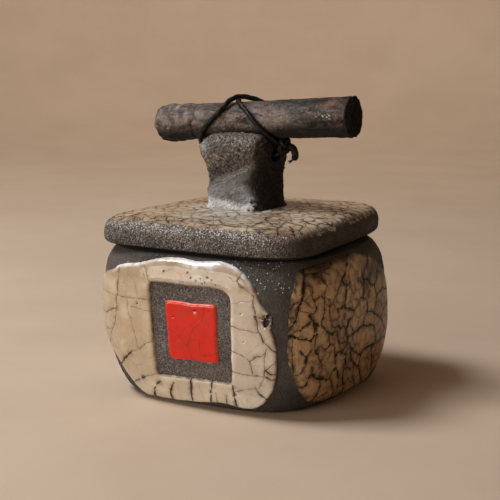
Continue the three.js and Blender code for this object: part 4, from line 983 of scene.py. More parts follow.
glaze_field("right_glaze_crackle", "right_glaze_panel", "box", CRACKLE_RIGHT, [right_loop], on_wall,
            [((0.62 + 0.36 * k) * (0.83 if np.mean(P, 0)[0] < -22 and np.mean(P, 0)[1] < 34 else 1.0), roll_out(P)) for k, P in RIGHT_CRACKS] + crackle(right_loop, 5.6, 17, 0.4, 1.0, 0.25), right_pits, (), right_tint, seed=7, line_width=0.25, thick=0.45, roll=2.6, sink=0.12, edge_width=2.8, spread=1.35, rag=0.3)
for label, outline, seed in (("back", BACK_OUTLINE, 21), ("left", LEFT_OUTLINE, 22)):
    loop = roll_out(outline)
    glaze_field(label + "_glaze_crackle", label + "_glaze_panel", "box", CRACKLE_RIGHT if label == "back" else CRACKLE, [loop], on_wall,
                crackle(loop, 9.0, seed, 0.6, 1.7, 0.12) + crackle(loop, 5.4, seed + 40, 0.2, 0.6, 0.45), [], (), plain_tint, seed=seed, wobble=0.6)


def on_lid(v, h):
    return np.stack([v[:, 0], v[:, 1], lid_top(v[:, 0], v[:, 1]) + h], 1)


def lid_tint(v, d):
    p3 = np.c_[v, np.zeros(len(v))]
    x, y = v[:, 0], v[:, 1]
    near_neck = smooth(np.maximum(np.abs(x + 1), np.abs(y)), 26, 15)
    ash = np.clip(0.25 * near_neck + 0.3 * noise(p3, 15, 62), 0, 0.5)
    ash = np.maximum(ash, np.clip(smooth(np.abs(x - 1), 25, 9) * smooth(y, -45, -33) * smooth(y, 4, -10) * (0.85 + 0.4 * noise(p3, 8, 66)), 0, 0.9))
    milk_and_painted_shine = np.clip(near_neck * (0.55 + 0.5 * noise(p3, 7, 61)), 0, 0.8) * smooth(y, 12, -6)
    milk_and_painted_shine = np.maximum(milk_and_painted_shine, np.clip(smooth(np.abs(x - 1), 24, 8) * smooth(y, -46, -36) * smooth(y, -8, -20) * (0.35 + 0.5 * noise(p3, 6, 67)), 0, 0.6))
    # painted sheen: lighter patches over the front right and right of the glaze
    milk_and_painted_shine = np.maximum(milk_and_painted_shine, np.clip(smooth(x, 8, 16) * smooth(x, 46, 34) * smooth(y, -49, -43) * smooth(y, -14, -24) * (0.3 + 0.5 * noise(p3, 5, 68)), 0, 0.55))
    milk_and_painted_shine = np.maximum(milk_and_painted_shine, np.clip(smooth(x, 16, 30) * smooth(y, -32, -16) * smooth(y, 30, 16) * (0.34 + 0.4 * noise(p3, 5, 69)), 0, 0.6))
    tint = np.clip(0.7 * (1 - 0.7 * smooth(x, 12, 30)) * smooth(noise(p3, 9, 63), 0.2, 0.9) + 0.06 * smooth(x, 14, 44) * smooth(y, -30, 10) + 0.6 * np.exp(-((x - 40) ** 2 + (y + 44) ** 2) / 90.0) * (1 + 0.5 * noise(p3, 2.5, 64)), 0, 0.85)
    return {"ash": ash, "milk_and_painted_shine": milk_and_painted_shine, "tint": tint, "blush": np.clip(0.5 * smooth(noise(p3, 6, 65), 0.5, 1.0), 0, 0.4)}


unit_lid = ring(LID_POWER, 260)
edge = unit_lid * 47.5
edge = edge + lid_wander(edge[:, 0], edge[:, 1])[:, :2]
a = np.arctan2(edge[:, 1], edge[:, 0])
edge = edge * (1 + 0.006 * np.sin(5 * a + 1) * np.sin(2 * a))[:, None]
edge[:, 0] += 1.5 * smooth(edge[:, 0], 38, 46) * smooth(edge[:, 1], -47, -40)
hole = ring(5.0, 90) * 14.0 + np.array([-1.1, 0])
front_half = [(1.35 + 0.3 * math.sin(3.1 * i), np.array(P)) for i, P in enumerate(LID_CRACKS)]
rest_half = [(s * (0.7 if P[:, 1].mean() < -24 and P[:, 0].mean() > -38 else 1.0), P) for s, P in crackle(edge, 5.2, 31, 0.8, 1.35, 0.08)]
glaze_field("lid_glaze_crackle", "lid_top_glaze", "lid", LID_GLAZE, [edge, hole], on_lid, front_half + rest_half, [], (), lid_tint,
            thick=0.4, roll=3.2, sink=0.12, seed=9, line_width=0.33, groove=0.2, rag=0.6, step=1.2, wobble=0.7, edge_width=2.6, spread=0.8)


# --------------------------------------------------------------- clay pieces
def grain(P, seed=0):
    """Grogged clay: coarse undulation, sand and scattered crumbs, about -1 to 1.5."""
    d, own = cells(P, 1.7, seed + 4)
    crumbs = np.clip(0.5 - d, 0, 1) * 2.2 * (own > 0.45)
    holes = np.clip(0.42 - d, 0, 1) * 2.2 * (own < 0.12)
    return 0.55 * noise(P, 4.2, seed + 3) + 0.5 * noise(P, 1.4, seed + 1) + 0.4 * noise(P, 0.75, seed + 2) + crumbs - holes


def grid_normals(P, wrap_rows=False):
    """Outward normals of a (rows, cols, 3) grid that wraps along its columns."""
    across = np.roll(P, -1, 1) - np.roll(P, 1, 1)
    up = np.roll(P, -1, 0) - np.roll(P, 1, 0)
    if not wrap_rows:
        up[0], up[-1] = P[1] - P[0], P[-1] - P[-2]
    return unit(np.cross(across, up))


# Angles round the box, closer where bare clay shows at the front and corners.
dense = np.concatenate([np.arange(-112, -40, 0.46), np.arange(-40, 36, 1.6), np.arange(36, 52, 0.8), np.arange(52, 124, 1.8),
                        np.arange(124, 148, 0.8), np.arange(148, 206, 1.8), np.arange(206, 248, 0.9)])
rows_out = np.interp(np.linspace(0, _up[-1], 122), _up, _zz)
rim_profile = resample(catmull([(47.4, 65.6), (45.4, 65.85), (42.6, 65.8), (41.0, 65.45), (39.6, 64.6), (38.85, 62.4), (39.6, 59), (43.4, 54), (46.6, 47), (47.5, 36), (46.2, 23),
                                (41.8, 13), (38.2, 9.6), (37.1, 8.5), (36.9, 6.0), (36.9, 0.6), (37.6, 0.0), (40.0, 0.0), (42.2, 0.0)], 10), 1.5)[1:]
profile = [(float(wall_half(z)), float(z)) for z in rows_out] + [tuple(p) for p in rim_profile]
pw, pz = np.array(profile).T
T, W = np.meshgrid(dense, pw)
_, Z = np.meshgrid(dense, pz)
P = plan(T.ravel(), W.ravel(), np.clip(Z.ravel(), 0, None)).reshape(len(pw), len(dense), 3)
N = grid_normals(P, True)
flat = P.reshape(-1, 3)
zrow = flat[:, 2]
outer = (np.arange(len(pw)) < len(rows_out))[:, None].repeat(len(dense), 1).ravel()
amp = np.where(outer, 0.2, 0.12) * smooth(zrow, -0.2, 2.0) * np.where(zrow > 63.5, 0.45, 1.0)
bumps = amp * grain(flat, 70)
finger = np.where(outer, 0.0, 0.5) * noise(flat, 16, 75) * smooth(zrow, 9, 16) * smooth(zrow, 62, 52)
flat = flat + N.reshape(-1, 3) * (bumps + finger)[:, None]
flat[:, 2] = np.clip(flat[:, 2], 0.0, 65.9)
th_all = np.broadcast_to(dense, (len(pw), len(dense))).ravel()
in_window = smooth(th_all, -107, -104) * smooth(th_all, -66, -69) * smooth(zrow, 12.5, 14.5) * smooth(zrow, 55, 53)
# lighter in the bare window; darker towards the bottom; painted shadow under the lid's overhang, painted shade in the
# gap below the lid and on the right face; the inner face a quarter darker
wall_tone_and_painted_shade = np.where(outer, 1.0 * in_window - 0.25 * smooth(zrow, 22, 4) * (1 - in_window) - 0.22 * smooth(zrow, 60.0, 63.0) - 0.72 * smooth(zrow, 64.2, 64.9) - 0.25 * smooth(th_all, -50, -40) * smooth(th_all, 50, 40), -0.25)
# painted glints: white grain highlights on the upper front-right corner strip and a few along the top at the front left
painted_spark_share = np.where(outer, 0.42 * smooth(th_all, -74, -66) * smooth(th_all, -40, -50) * smooth(zrow, 44, 58), 0.0)
painted_spark_share = np.where(outer, np.maximum(painted_spark_share, 0.14 * smooth(zrow, 57, 61) * ((th_all < -100) | (th_all > 215))), 0.0)
calm = np.where(outer, 0.32 * in_window + 0.8 * (1 - in_window) * (1 - 0.5 * smooth(zrow, 56, 62) * smooth(th_all, -40, -60)), 0.3)
piece("box_wall_clay", flat, grid_quads(len(pw), len(dense), True), None, "box", "box_wall", CLAY_BOX, {"shade": wall_tone_and_painted_shade, "painted_spark_share": painted_spark_share, "calm": calm})

# Floor: let into the foot, luted round its edge, with throwing marks inside.
side = 240
radii = np.concatenate([np.linspace(0.4, 36.0, 44), [36.6, 36.95, 37.1]])
down = np.concatenate([[37.1, 36.7, 36.0], np.linspace(35, 0.4, 34)])
rows = [(r, 8.3 - 0.25 * smooth(r, 36.2, 37.1) + 0.5 * smooth(r, 30, 36.5)) for r in radii] + [(37.1, 5.0), (37.1, 1.0)] + [(r, 0.25 * (r > 36.2)) for r in down]
rw, rz = np.array(rows).T
angles = np.linspace(-180, 180, side, endpoint=False)
T, W = np.meshgrid(angles, rw)
_, Z = np.meshgrid(angles, rz)
P = plan(T.ravel(), W.ravel(), Z.ravel()).reshape(len(rw), side, 3)[::-1]
F = P.reshape(-1, 3)
is_top = F[:, 2] > 6
F[:, 2] += np.where(is_top, 0.2 * noise(F, 9, 81) + 0.1 * np.sin(np.hypot(F[:, 0], F[:, 1]) * 1.1) + 0.06 * grain(F, 82),
                    np.where(F[:, 2] < 0.5, 0.12 + 0.12 * np.abs(noise(F, 5, 83)) + 0.1 * np.clip(grain(F, 84), 0, 1), 0))
F[:, 2] = np.maximum(F[:, 2], 0.0)
caps = []
last = len(rw) - 1
centre_low, centre_high = len(F), len(F) + 1
F = np.concatenate([F, [[0, 0, F[:side, 2].mean()], [0, 0, F[last * side:, 2].mean()]]])
k = np.arange(side)
caps = np.concatenate([np.stack([(k + 1) % side, k, np.full(side, centre_low)], 1), np.stack([last * side + k, last * side + (k + 1) % side, np.full(side, centre_high)], 1)])
piece("floor_slab_clay", F, grid_quads(len(rw), side), caps, "box", "floor_slab", CLAY_INSIDE)

# Lid slab: gritty rounded rim, flat seat underneath.
count = 1080
u = ring(LID_POWER, count)
rim_rows = resample(catmull([(46.6, 66.0, 0.4), (48.4, 66.3, 0.7), (49.6, 67.2, 1), (50, 68.6, 1), (50.05, 70.8, 1), (49.8, 72.9, 1), (49.0, 74.8, 1), (47.5, 76.3, 1), (45.3, 77.2, 1)], 10), 0.4)
under = [(r, 66.0, 0.0) for r in (0.5, 10, 20, 28, 33, 37, 40, 43, 45)]
over = [(r, None, 2) for r in (43.6, 40, 34, 22, 0.5)]
G = []
for w, z, kind in under + [tuple(r) for r in rim_rows] + over:
    p = u * w
    d = lid_wander(p[:, 0], p[:, 1])
    x, y = p[:, 0] + d[:, 0], p[:, 1] + d[:, 1]
    top = lid_top(x, y) - 0.05
    G.append(np.stack([x, y, top if z is None else z + min(1, kind) * d[:, 2]], 1))
G = np.array(G)
N = grid_normals(G)
first, n_rim = len(under), len(rim_rows)
F = G.reshape(-1, 3)
row = np.repeat(np.arange(len(G)), count)
on_rim = (row >= first) & (row < first + n_rim)
height = F[:, 2]
lump = grain(F, 90)
plain = smooth(F[:, 0], 41, 47) * smooth(F[:, 1], -48, -42)
amp = np.where(on_rim, 0.25 * smooth(height, 66.2, 68.5) * (1 - 0.75 * plain) * (1 - 0.4 * smooth(N.reshape(-1, 3)[:, 0], 0.4, 0.9)) + 0.04, 0.03)
nn = N.reshape(-1, 3).copy()
nn[row < first] = (0, 0, 1)
nn[row >= first + n_rim] = (0, 0, 1)
F = F + nn * (amp * lump + np.where(on_rim, 0.22 * (1 - 0.8 * plain) * noise(F, 9, 93) * smooth(height, 66.3, 68), 0))[:, None]
F[:, 2] = np.where(row < first + 3, np.maximum(F[:, 2], 66.0), F[:, 2])
rows_n = len(G)
k = np.arange(count)
F = np.concatenate([F, [[0, 0, 66.0], [0, 0, float(lid_top(np.zeros(1), np.zeros(1))[0])]]])
caps = np.concatenate([np.stack([(k + 1) % count, k, np.full(count, rows_n * count)], 1),
                       np.stack([(rows_n - 1) * count + k, (rows_n - 1) * count + (k + 1) % count, np.full(count, rows_n * count + 1)], 1)])
# the right face is smoothed and takes painted shade; painted glints and painted light along the top of the rim and
# across the front middle, painted shade lower down, in the gap under the bottom edge and at the front right corner
right_side = smooth(N.reshape(-1, 3)[:, 0], 0.45, 0.9)
corner = np.exp(-(((F[:-2, 0] - 43) / 9) ** 2 + ((F[:-2, 1] + 44) / 9) ** 2)) * smooth(height, 71, 76)
rust = np.clip(corner * (0.6 + 0.6 * noise(F[:-2], 3, 97)), 0, 0.8)
piece("lid_slab_clay", F, grid_quads(rows_n, count), caps, "lid", "lid_slab", CLAY_LID,
      {"painted_spark_share": np.concatenate([(0.25 * smooth(height, 68.5, 71) + 1.2 * smooth(height, 72.4, 75.6)) * (1 - right_side), [0, 0]]), "calm": np.concatenate([0.7 * right_side, [0, 0]]),
       "shade": np.concatenate([0.24 * smooth(height, 72.0, 75.6) * (1 - right_side) - 0.14 * smooth(height, 71.0, 67.8) - 0.6 * right_side - 0.97 * smooth(height, 67.2, 66.6) * (1 - right_side) + (0.34 * smooth(height, 71.5, 75.2) + 0.22 * smooth(F[:-2, 0], -30, 0) * smooth(F[:-2, 0], 42, 30)) * (1 - right_side) - 0.3 * np.exp(-(((F[:-2, 0] - 45) / 9) ** 2 + ((F[:-2, 1] + 47) / 9) ** 2)) * (1 - right_side), [0, 0]]), "rust": np.concatenate([rust, [0, 0]])})

# Locating flange: a coil pressed on under the lid.
side = 420
fl = resample(catmull([(35.1, 58.7), (36.1, 59.8), (36.35, 61.5), (36.35, 64.4), (36.35, 66.15), (32.0, 66.15), (31.95, 63.5), (32.0, 60.0), (32.7, 58.8), (33.9, 58.5)], 8, True), 0.55, True)
angles = np.linspace(-180, 180, side, endpoint=False)
T, W = np.meshgrid(angles, fl[:, 0])
_, Z = np.meshgrid(angles, fl[:, 1])
P = plan(T.ravel(), W.ravel(), Z.ravel()).reshape(len(fl), side, 3)
N = grid_normals(P, True)
F = P.reshape(-1, 3)
F = F + N.reshape(-1, 3) * (0.1 * grain(F, 95) + 0.18 * noise(F, 7, 96))[:, None]
piece("locating_flange_clay", F, grid_quads(len(fl), side, True), None, "lid", "lid_locating_flange", CLAY_LID)

# Handle neck: pinched block with a ledge across its front, crumbly top, saddle and cord hole.
neck_x, neck_a, neck_b, neck_n, neck_pinch = [table(NECK[:, 0], NECK[:, k]) for k in range(1, 6)]
side = 330
stick_dir = unit(STICK_RIGHT - STICK_LEFT)


def stick_z(x):
    return STICK_LEFT[2] + (x - STICK_LEFT[0]) / (STICK_RIGHT[0] - STICK_LEFT[0]) * (STICK_RIGHT[2] - STICK_LEFT[2])


levels = np.concatenate([[79.0], np.arange(79.4, 107, 0.36), np.arange(107, 111.7, 0.3), [111.7]])
shrink = np.concatenate([np.ones(len(levels)), np.linspace(0.93, 0.04, 16)])
levels = np.concatenate([levels, np.linspace(111.72, 111.9, 16)])
t = np.linspace(0, 2 * np.pi, 1201)
G = []
for z, s in zip(levels, shrink):
    zz = min(max(z, 79.9), 111.7)
    A, B, n_ = float(neck_a(zz)) * s, float(neck_b(zz)) * s, float(neck_n(zz))
    r = 1 / (np.abs(np.cos(t) / A) ** n_ + np.abs(np.sin(t) / B) ** n_) ** (1 / n_)
    q = np.stack([r * np.cos(t), r * np.sin(t)], 1)
    l = np.concatenate([[0], np.cumsum(np.linalg.norm(np.diff(q, axis=0), axis=1))])
    at = np.arange(side) / side * l[-1]
    x, y = np.interp(at, l, q[:, 0]), np.interp(at, l, q[:, 1])
    kk = (1 + x / A) * (1 - y / B) / 4
    pinch = float(neck_pinch(zz))
    foot = 1 + 0.03 * smooth(z, 82.0, 79.6) ** 2
    drop = 2.2 * smooth(-x, 7, 17) * smooth(z, 104.5, 110.5)
    far = (1 + x / A) * (1 + y / B) / 4 * smooth(z, 82, 88) * smooth(z, 106, 99)
    left = smooth(-x / A, 0.2, 0.9) * smooth(z, 96, 103) * smooth(z, 112, 107)
    G.append(np.stack([float(neck_x(zz)) + (x - kk * pinch) * foot + 1.4 * far - 0.9 * left, (y + 0.25 * kk * pinch) * foot + 0.5 * far, z - drop], 1))
G = np.array(G)
N = grid_normals(G)
F, nn = G.reshape(-1, 3), N.reshape(-1, 3)
x, y, z = F.T
front = smooth(-nn[:, 1], 0.35, 0.85) * smooth(-y, 4, 9)
crease_x = [-20, -12.8, -9.2, -5.2, -0.1, 3.6, 6.6, 8.5, 14]
crease_z = [86.5, 88.9, 91.5, 92.8, 94.4, 96.2, 97.3, 99.1, 103]
h = z - np.interp(x, crease_x, crease_z) + 0.35 * noise(F, 4, 101)
below = smooth(h, 0.55, -0.35)
ledge = front * (1.35 * smooth(h, 1.6, -1.4) * np.exp(-np.maximum(0, -h) / 8.0) - 0.65 * np.exp(-((h - 3.0) / 3.0) ** 2))
crumb = smooth(z, 100, 107)
rough = (0.16 + 0.24 * crumb * (1 - 0.3 * below) + 0.28 * (1 - below * front)) * grain(F, 103)
lobe = 1.4 * np.exp(-((x + 14.6) ** 2 + (y + 12.4) ** 2 + (z - 105.4) ** 2) / 5.2)
pit_d = np.sqrt((x - 6.8) ** 2 + (y + 12.6) ** 2 + (z - 108.9) ** 2)
pit = (0.5 * np.exp(-((pit_d - 1.6) / 1.2) ** 2)) * (1 + 0.9 * noise(F, 1.2, 129)) - 0.8 * np.exp(-(pit_d / 0.7) ** 2)
blob_d = np.sqrt((x - 9.0) ** 2 + (y + 12.8) ** 2 + (z - 81.0) ** 2)
holes = smooth(noise(F, 1.7, 107), 0.12, 0.5) * np.exp(-(blob_d / 3.0) ** 4)
blob = 1.0 * np.exp(-(blob_d / 2.8) ** 2) - 0.9 * holes
move = ledge + rough + lobe + pit + blob + 0.3 * noise(F, 8, 105)
F = F + nn * move[:, None]
# cord hole: bored in from both ends along X
rad = np.hypot(F[:, 1], F[:, 2] - HOLE_Z)
bore = smooth(rad, 3.0, 2.55) * (np.abs(nn[:, 0]) > 0.3)
F[:, 0] -= np.sign(F[:, 0]) * bore * 12.0
# saddle
R = 8.2
sz = stick_z(F[:, 0]) - np.sqrt(np.maximum(0, R * R - F[:, 1] ** 2))
deep = (np.abs(F[:, 1]) < R) & (F[:, 2] > sz)
F[:, 2] = np.where(deep, sz + 0.05, F[:, 2])
pale = np.clip(front * smooth(z + 0.14 * x, 84.2, 80.6) * (0.98 + 0.5 * noise(F, 2.2, 108) + 0.5 * noise(F, 0.9, 133)), 0, 0.97)
pale = np.maximum(pale, 0.35 * smooth(z, 81.2, 80.2) * (nn[:, 0] < 0.4))
pale = np.maximum(pale, 0.6 * np.exp(-((pit_d / 2.6) ** 2)) * np.clip(0.2 + 1.3 * noise(F, 1.0, 110), 0, 1))
pale = np.maximum(pale, np.clip(0.8 * np.exp(-(blob_d / 2.8) ** 2), 0, 0.8))
pale = np.maximum(pale, 0.45 * np.exp(-((x + 14.6) ** 2 + (y + 12.4) ** 2 + (z - 105.4) ** 2) / 6.0))
fade = smooth(h + 1.2 * noise(F, 3.5, 135), 1.6, -2.2)
blue_grey_and_painted_ridge_light = np.clip(front * fade * (0.8 + 0.3 * noise(F, 3.0, 136)) * smooth(z, 82, 85), 0, 1)
lobe_at = np.exp(-((x + 15.2) ** 2 + (y + 12.0) ** 2 + (z - 105.8) ** 2) / 9.0)
calm = np.clip(0.7 * front * fade + 0.5 * smooth(nn[:, 0], 0.4, 0.8) + 0.8 * lobe_at, 0, 0.85)
blue_grey_and_painted_ridge_light = np.maximum(blue_grey_and_painted_ridge_light, 0.6 * lobe_at)
pale = np.maximum(pale, 0.55 * front * smooth(z, 103.5, 108.5) * smooth(noise(F, 1.0, 141), 0.12, 0.5))
pale = pale * (1 - holes)
# painted highlight along the ridge of the crease
blue_grey_and_painted_ridge_light = np.maximum(blue_grey_and_painted_ridge_light, 0.35 * front * np.exp(-((h + 0.2) / 1.3) ** 2) * np.clip(0.8 + 0.5 * noise(F, 3, 109), 0, 1))
dark_patch = np.exp(-(((z - 85.4 - 0.25 * (x + 1.6)) / 1.5) ** 2 + ((x + 1.0) / 6.0) ** 2)) + 0.8 * np.exp(-(((z - 89.6 - 0.3 * x) / 1.2) ** 2 + ((x - 4) / 4.0) ** 2))
# painted shade in the dent above the crease, and darker patches below it
shade = -0.26 * front * smooth(h, 0.3, 2.0) * smooth(h, 10, 4) - 0.6 * front * np.clip(dark_patch * (1.0 + 0.8 * noise(F, 1.8, 142)), 0, 1)
# painted shade on the right face
shade = np.maximum(shade - 0.8 * smooth(nn[:, 0], 0.25, 0.7), -0.86)
# painted shade in the blob's holes
shade = np.maximum(shade - 0.75 * holes, -0.9)
# painted highlight down the front right corner
shade += 0.35 * np.exp(-((x - 7.6) / 2.6) ** 2) * front * smooth(z, 95, 99) * smooth(z, 109, 106)
shade += front * (0.3 * noise(F, 7, 138) + 0.16 * noise(F, 3.2, 139)) * smooth(h, 0, 1.5) + 0.3 * front * smooth(h, 0, -1.5) * noise(F, 3.4, 140)
shade += 0.16 * front * smooth(h, 0.2, -1.6)
rust = 0.5 * np.exp(-(pit_d / 0.9) ** 2)
k = np.arange(side)
rows_n = len(levels)
end = len(F)
F = np.concatenate([F, [[-1.1, 0, 79.0], F[(rows_n - 1) * side:].mean(0)]])
caps = np.concatenate([np.stack([(k + 1) % side, k, np.full(side, end)], 1), np.stack([(rows_n - 1) * side + k, (rows_n - 1) * side + (k + 1) % side, np.full(side, end + 1)], 1)])
pad = lambda v: np.concatenate([v, [0, 0]])
piece("handle_neck_clay", F, grid_quads(rows_n, side), caps, "lid", "handle_neck", CLAY_NECK,
      {"pale": pad(pale), "blue_grey_and_painted_ridge_light": pad(blue_grey_and_painted_ridge_light), "shade": pad(shade), "rust": pad(rust), "calm": pad(calm)})


# --------------------------------------------------------------------- stick
def wood_material():
    n = Nodes("charred_wood")
    along = n.stretch(0.45, 1.0, 1.0)
    streak = n.noise(300, 5, 0.66, 0.8, along)
    colour = n.mix(n.step(streak, 0.38, 0.62), rgb(30, 24, 22), rgb(102, 89, 83))
    cloud = n.noise(70, 4, 0.6, 0.5)
    colour = n.mix(n.step(cloud, 0.45, 0.72, 0, 0.6), colour, rgb(126, 116, 111))
    fine = n.noise(900, 4, 0.72)
    colour = n.mix(n.step(fine, 0.52, 0.6, 0, 0.3), colour, rgb(150, 137, 126))
    colour = n.mix(n.step(fine, 0.48, 0.4, 0, 0.55), colour, rgb(20, 15, 13))
    colour = n.mix(n.step(n.noise(120, 3, 0.6), 0.55, 0.75, 0, 0.5), colour, rgb(86, 64, 50))
    # painted glints: a few small pale spots
    dist, own = n.spots(700, n.stretch(0.5, 1, 1))
    fleck = n.times(n.step(dist, 0.4, 0.2), n.step(own, 0.93, 0.95))
    colour = n.mix(n.times(fleck, 0.6), colour, rgb(186, 176, 166))
    # painted sheen, then charring and painted shade in near black
    colour = n.mix(n.attr("painted_sheen"), colour, rgb(139, 129, 124))
    colour = n.mix(n.attr("char_and_shade"), colour, (0.0035, 0.0032, 0.003, 1))
    colour = n.mix(n.times(n.attr("bare"), n.step(n.noise(700, 3, 0.7), 0.4, 0.56)), colour, rgb(128, 72, 52))
    colour = n.mix(n.attr("pale"), colour, rgb(206, 196, 182))
    fissure = n.step(n.noise(420, 3, 0.65, 0.3, n.stretch(0.28, 1.0, 1.0)), 0.42, 0.35)
    colour = n.mix(n.times(fissure, 0.75), colour, (0.008, 0.006, 0.005, 1))
    across = n.step(n.noise(330, 3, 0.6, 0.5, n.stretch(1.5, 0.22, 0.22)), 0.4, 0.34)
    colour = n.mix(n.times(across, 0.5), colour, (0.008, 0.006, 0.005, 1))
    rough = n.math("MAXIMUM", n.step(streak, 0.3, 0.7, 0.74, 0.46), n.attr("char_and_shade"))
    normal = n.bump(n.math("ADD", n.times(streak, 0.8), n.times(n.noise(1100, 3), 0.5)), 0.9, 0.001)
    return n.done(colour, rough, normal, 0.4)


WOOD = wood_material()
length = float(np.linalg.norm(STICK_RIGHT - STICK_LEFT))
s_rows = np.concatenate([[3.2, 3.35, 3.6, 3.9], np.arange(4.3, length - 0.9, 0.45), [length - 0.8, length - 0.45, length - 0.15, length]])
r_table = table([0, 3.2, 3.7, 4.6, 8, 12, 16, 22, 32, 42, 52, 64, 76, 88, 95, length], [6.8, 7.1, 7.6, 7.85, 8.0, 8.0, 7.9, 7.9, 8.0, 7.85, 8.0, 8.15, 8.25, 8.4, 8.6, 8.65])
side = 150
ang = np.arange(side) / side * 2 * np.pi
up_dir = np.cross(stick_dir, np.array([0, 1.0, 0]))
up_dir = up_dir if up_dir[2] > 0 else -up_dir
S, A = np.meshgrid(s_rows, ang, indexing="ij")
base_r = r_table(S)
q3 = np.stack([S.ravel() * 0.22, 8 * np.cos(A).ravel(), 8 * np.sin(A).ravel()], 1)
e3 = np.stack([S.ravel(), 8 * np.cos(A).ravel(), 8 * np.sin(A).ravel()], 1)
left_end = smooth(S.ravel(), 34, 8)
relief = 0.13 * noise(q3, 2.0, 111) + 0.08 * noise(q3, 0.9, 112) + (0.16 + 0.2 * left_end) * noise(e3, 5.5, 113) + 0.12 * noise(e3, 1.6, 114)
relief += left_end * (0.2 * noise(e3, 9, 115) + 0.42 * noise(e3, 2.7, 128))
notch = np.exp(-((S.ravel() - 22.6 + 0.6 * noise(e3, 3, 134)) / 0.7) ** 2) * smooth(-np.cos(A).ravel(), 0.1, 0.6) * smooth(np.sin(A).ravel(), 0.45, 0.0)
relief -= 0.6 * notch
knob = 0.55 * np.exp(-((S.ravel() - 9) / 4.5) ** 2) * smooth(np.cos(A).ravel() * -0.55 + np.sin(A).ravel() * -0.85, 0.3, 1.0)
relief += knob + 0.25 * noise(e3, 2.4, 116) * smooth(S.ravel(), length - 9, length - 1)
relief += (0.5 * noise(e3, 3.0, 131) + 0.45 * noise(e3, 1.3, 143)) * smooth(S.ravel(), length - 3.0, length - 0.3)
radius = np.clip(base_r.ravel() + relief, 1.0, 9.1)
# the left end is broken off round, the right end is sawn and charred
shift = np.where(S.ravel() < 4.6, 0.5 * noise(e3, 4, 117), 0)
ctr = STICK_LEFT + stick_dir * (S.ravel() + shift)[:, None]
F = ctr + np.array([0, 1.0, 0]) * (radius * np.cos(A).ravel())[:, None] + up_dir * (radius * np.sin(A).ravel())[:, None]
end_rows = []
for f in np.linspace(0.92, 0.06, 14):
    j = (len(s_rows) - 1) * side
    c = STICK_LEFT + stick_dir * length
    ringp = c + (F[j:j + side] - c) * f
    e = ringp / 1.0
    end_rows.append(ringp + stick_dir * (0.35 * noise(e, 2.2, 118) + 0.25 * noise(e, 0.9, 119) - 0.9 * smooth(f, 0.85, 0.3) - 0.7 * smooth(f, 0.2, 0.05))[:, None])
start_rows = []
for f in np.linspace(0.06, 0.9, 9):
    c = STICK_LEFT + stick_dir * 3.2
    ringp = c + (F[:side] - c) * f
    start_rows.append(ringp - stick_dir * (0.35 * (1 - f * f) + 0.4 * noise(ringp, 3.0, 120))[:, None])
allrows = np.concatenate([np.concatenate(start_rows), F, np.concatenate(end_rows)])
n_start, n_end = len(start_rows), len(end_rows)
rows_n = len(s_rows) + n_start + n_end
s_all = np.concatenate([np.zeros(n_start * side), S.ravel(), np.full(n_end * side, length)])
is_end = np.concatenate([np.zeros(n_start * side + S.size), np.ones(n_end * side)])


e_start = np.concatenate([np.stack([np.full(side, 3.2), 8 * f * np.cos(ang), 8 * f * np.sin(ang)], 1) for f in np.linspace(0.06, 0.9, 9)])
e_all = np.concatenate([e_start, e3, np.zeros((n_end * side, 3))])
lump_all = noise(e_all, 2.7, 128)
X, Y, Z3 = allrows.T
# charring at the sawn end and over the right third, and painted shade below
char_and_shade = np.clip(is_end + smooth(s_all, length - 1.6, length - 0.3) * 0.9, 0, 1)
zz = Z3 - stick_z(X)
right_part, left_part = smooth(X, 16, 30), smooth(X, -14, -24)
lowside = smooth(-zz, 1.0 - 2.0 * right_part - 2.6 * left_part, 6.5 - 1.5 * right_part)
band = smooth(zz, -1.5, 1.5) * smooth(zz, 7.5, 5.0)
# painted shade: the underside, the grooves of the left lumps, the notch, the top, the cord's shadow and the lower left
char_and_shade = np.maximum(char_and_shade, 0.93 * lowside)
char_and_shade = np.maximum(char_and_shade, 0.5 * smooth(X, -14, -24) * smooth(lump_all + 0.3 * noise(e_all, 1.1, 142), -0.15, -0.7))
char_and_shade = np.maximum(char_and_shade, np.concatenate([np.zeros(n_start * side), 0.9 * notch, np.zeros(n_end * side)]))
char_and_shade = np.maximum(char_and_shade, 0.57 * smooth(zz, 1.2, 8.0) * smooth(X, -6, 4))
char_and_shade = np.maximum(char_and_shade, 0.55 * smooth(zz, 1.8, 6.2) * smooth(X, -15, -11) * smooth(X, 2, -2))
char_and_shade = np.maximum(char_and_shade, 0.22 * smooth(zz, 3.8, 5.4) * smooth(X, -12, -18))
char_and_shade = np.maximum(char_and_shade, 0.3 * smooth(zz, 0.2, -2.2) * smooth(X, -16, -24))
# charring over the right third, less of it where the painted light band lies
char_and_shade = np.maximum(char_and_shade, 0.9 * (1 - 0.3 * band) * smooth(X, 18, 30) * np.clip(0.86 + 1.5 * noise(allrows, 4, 125) + 0.6 * noise(allrows, 1.6, 137), 0, 1))
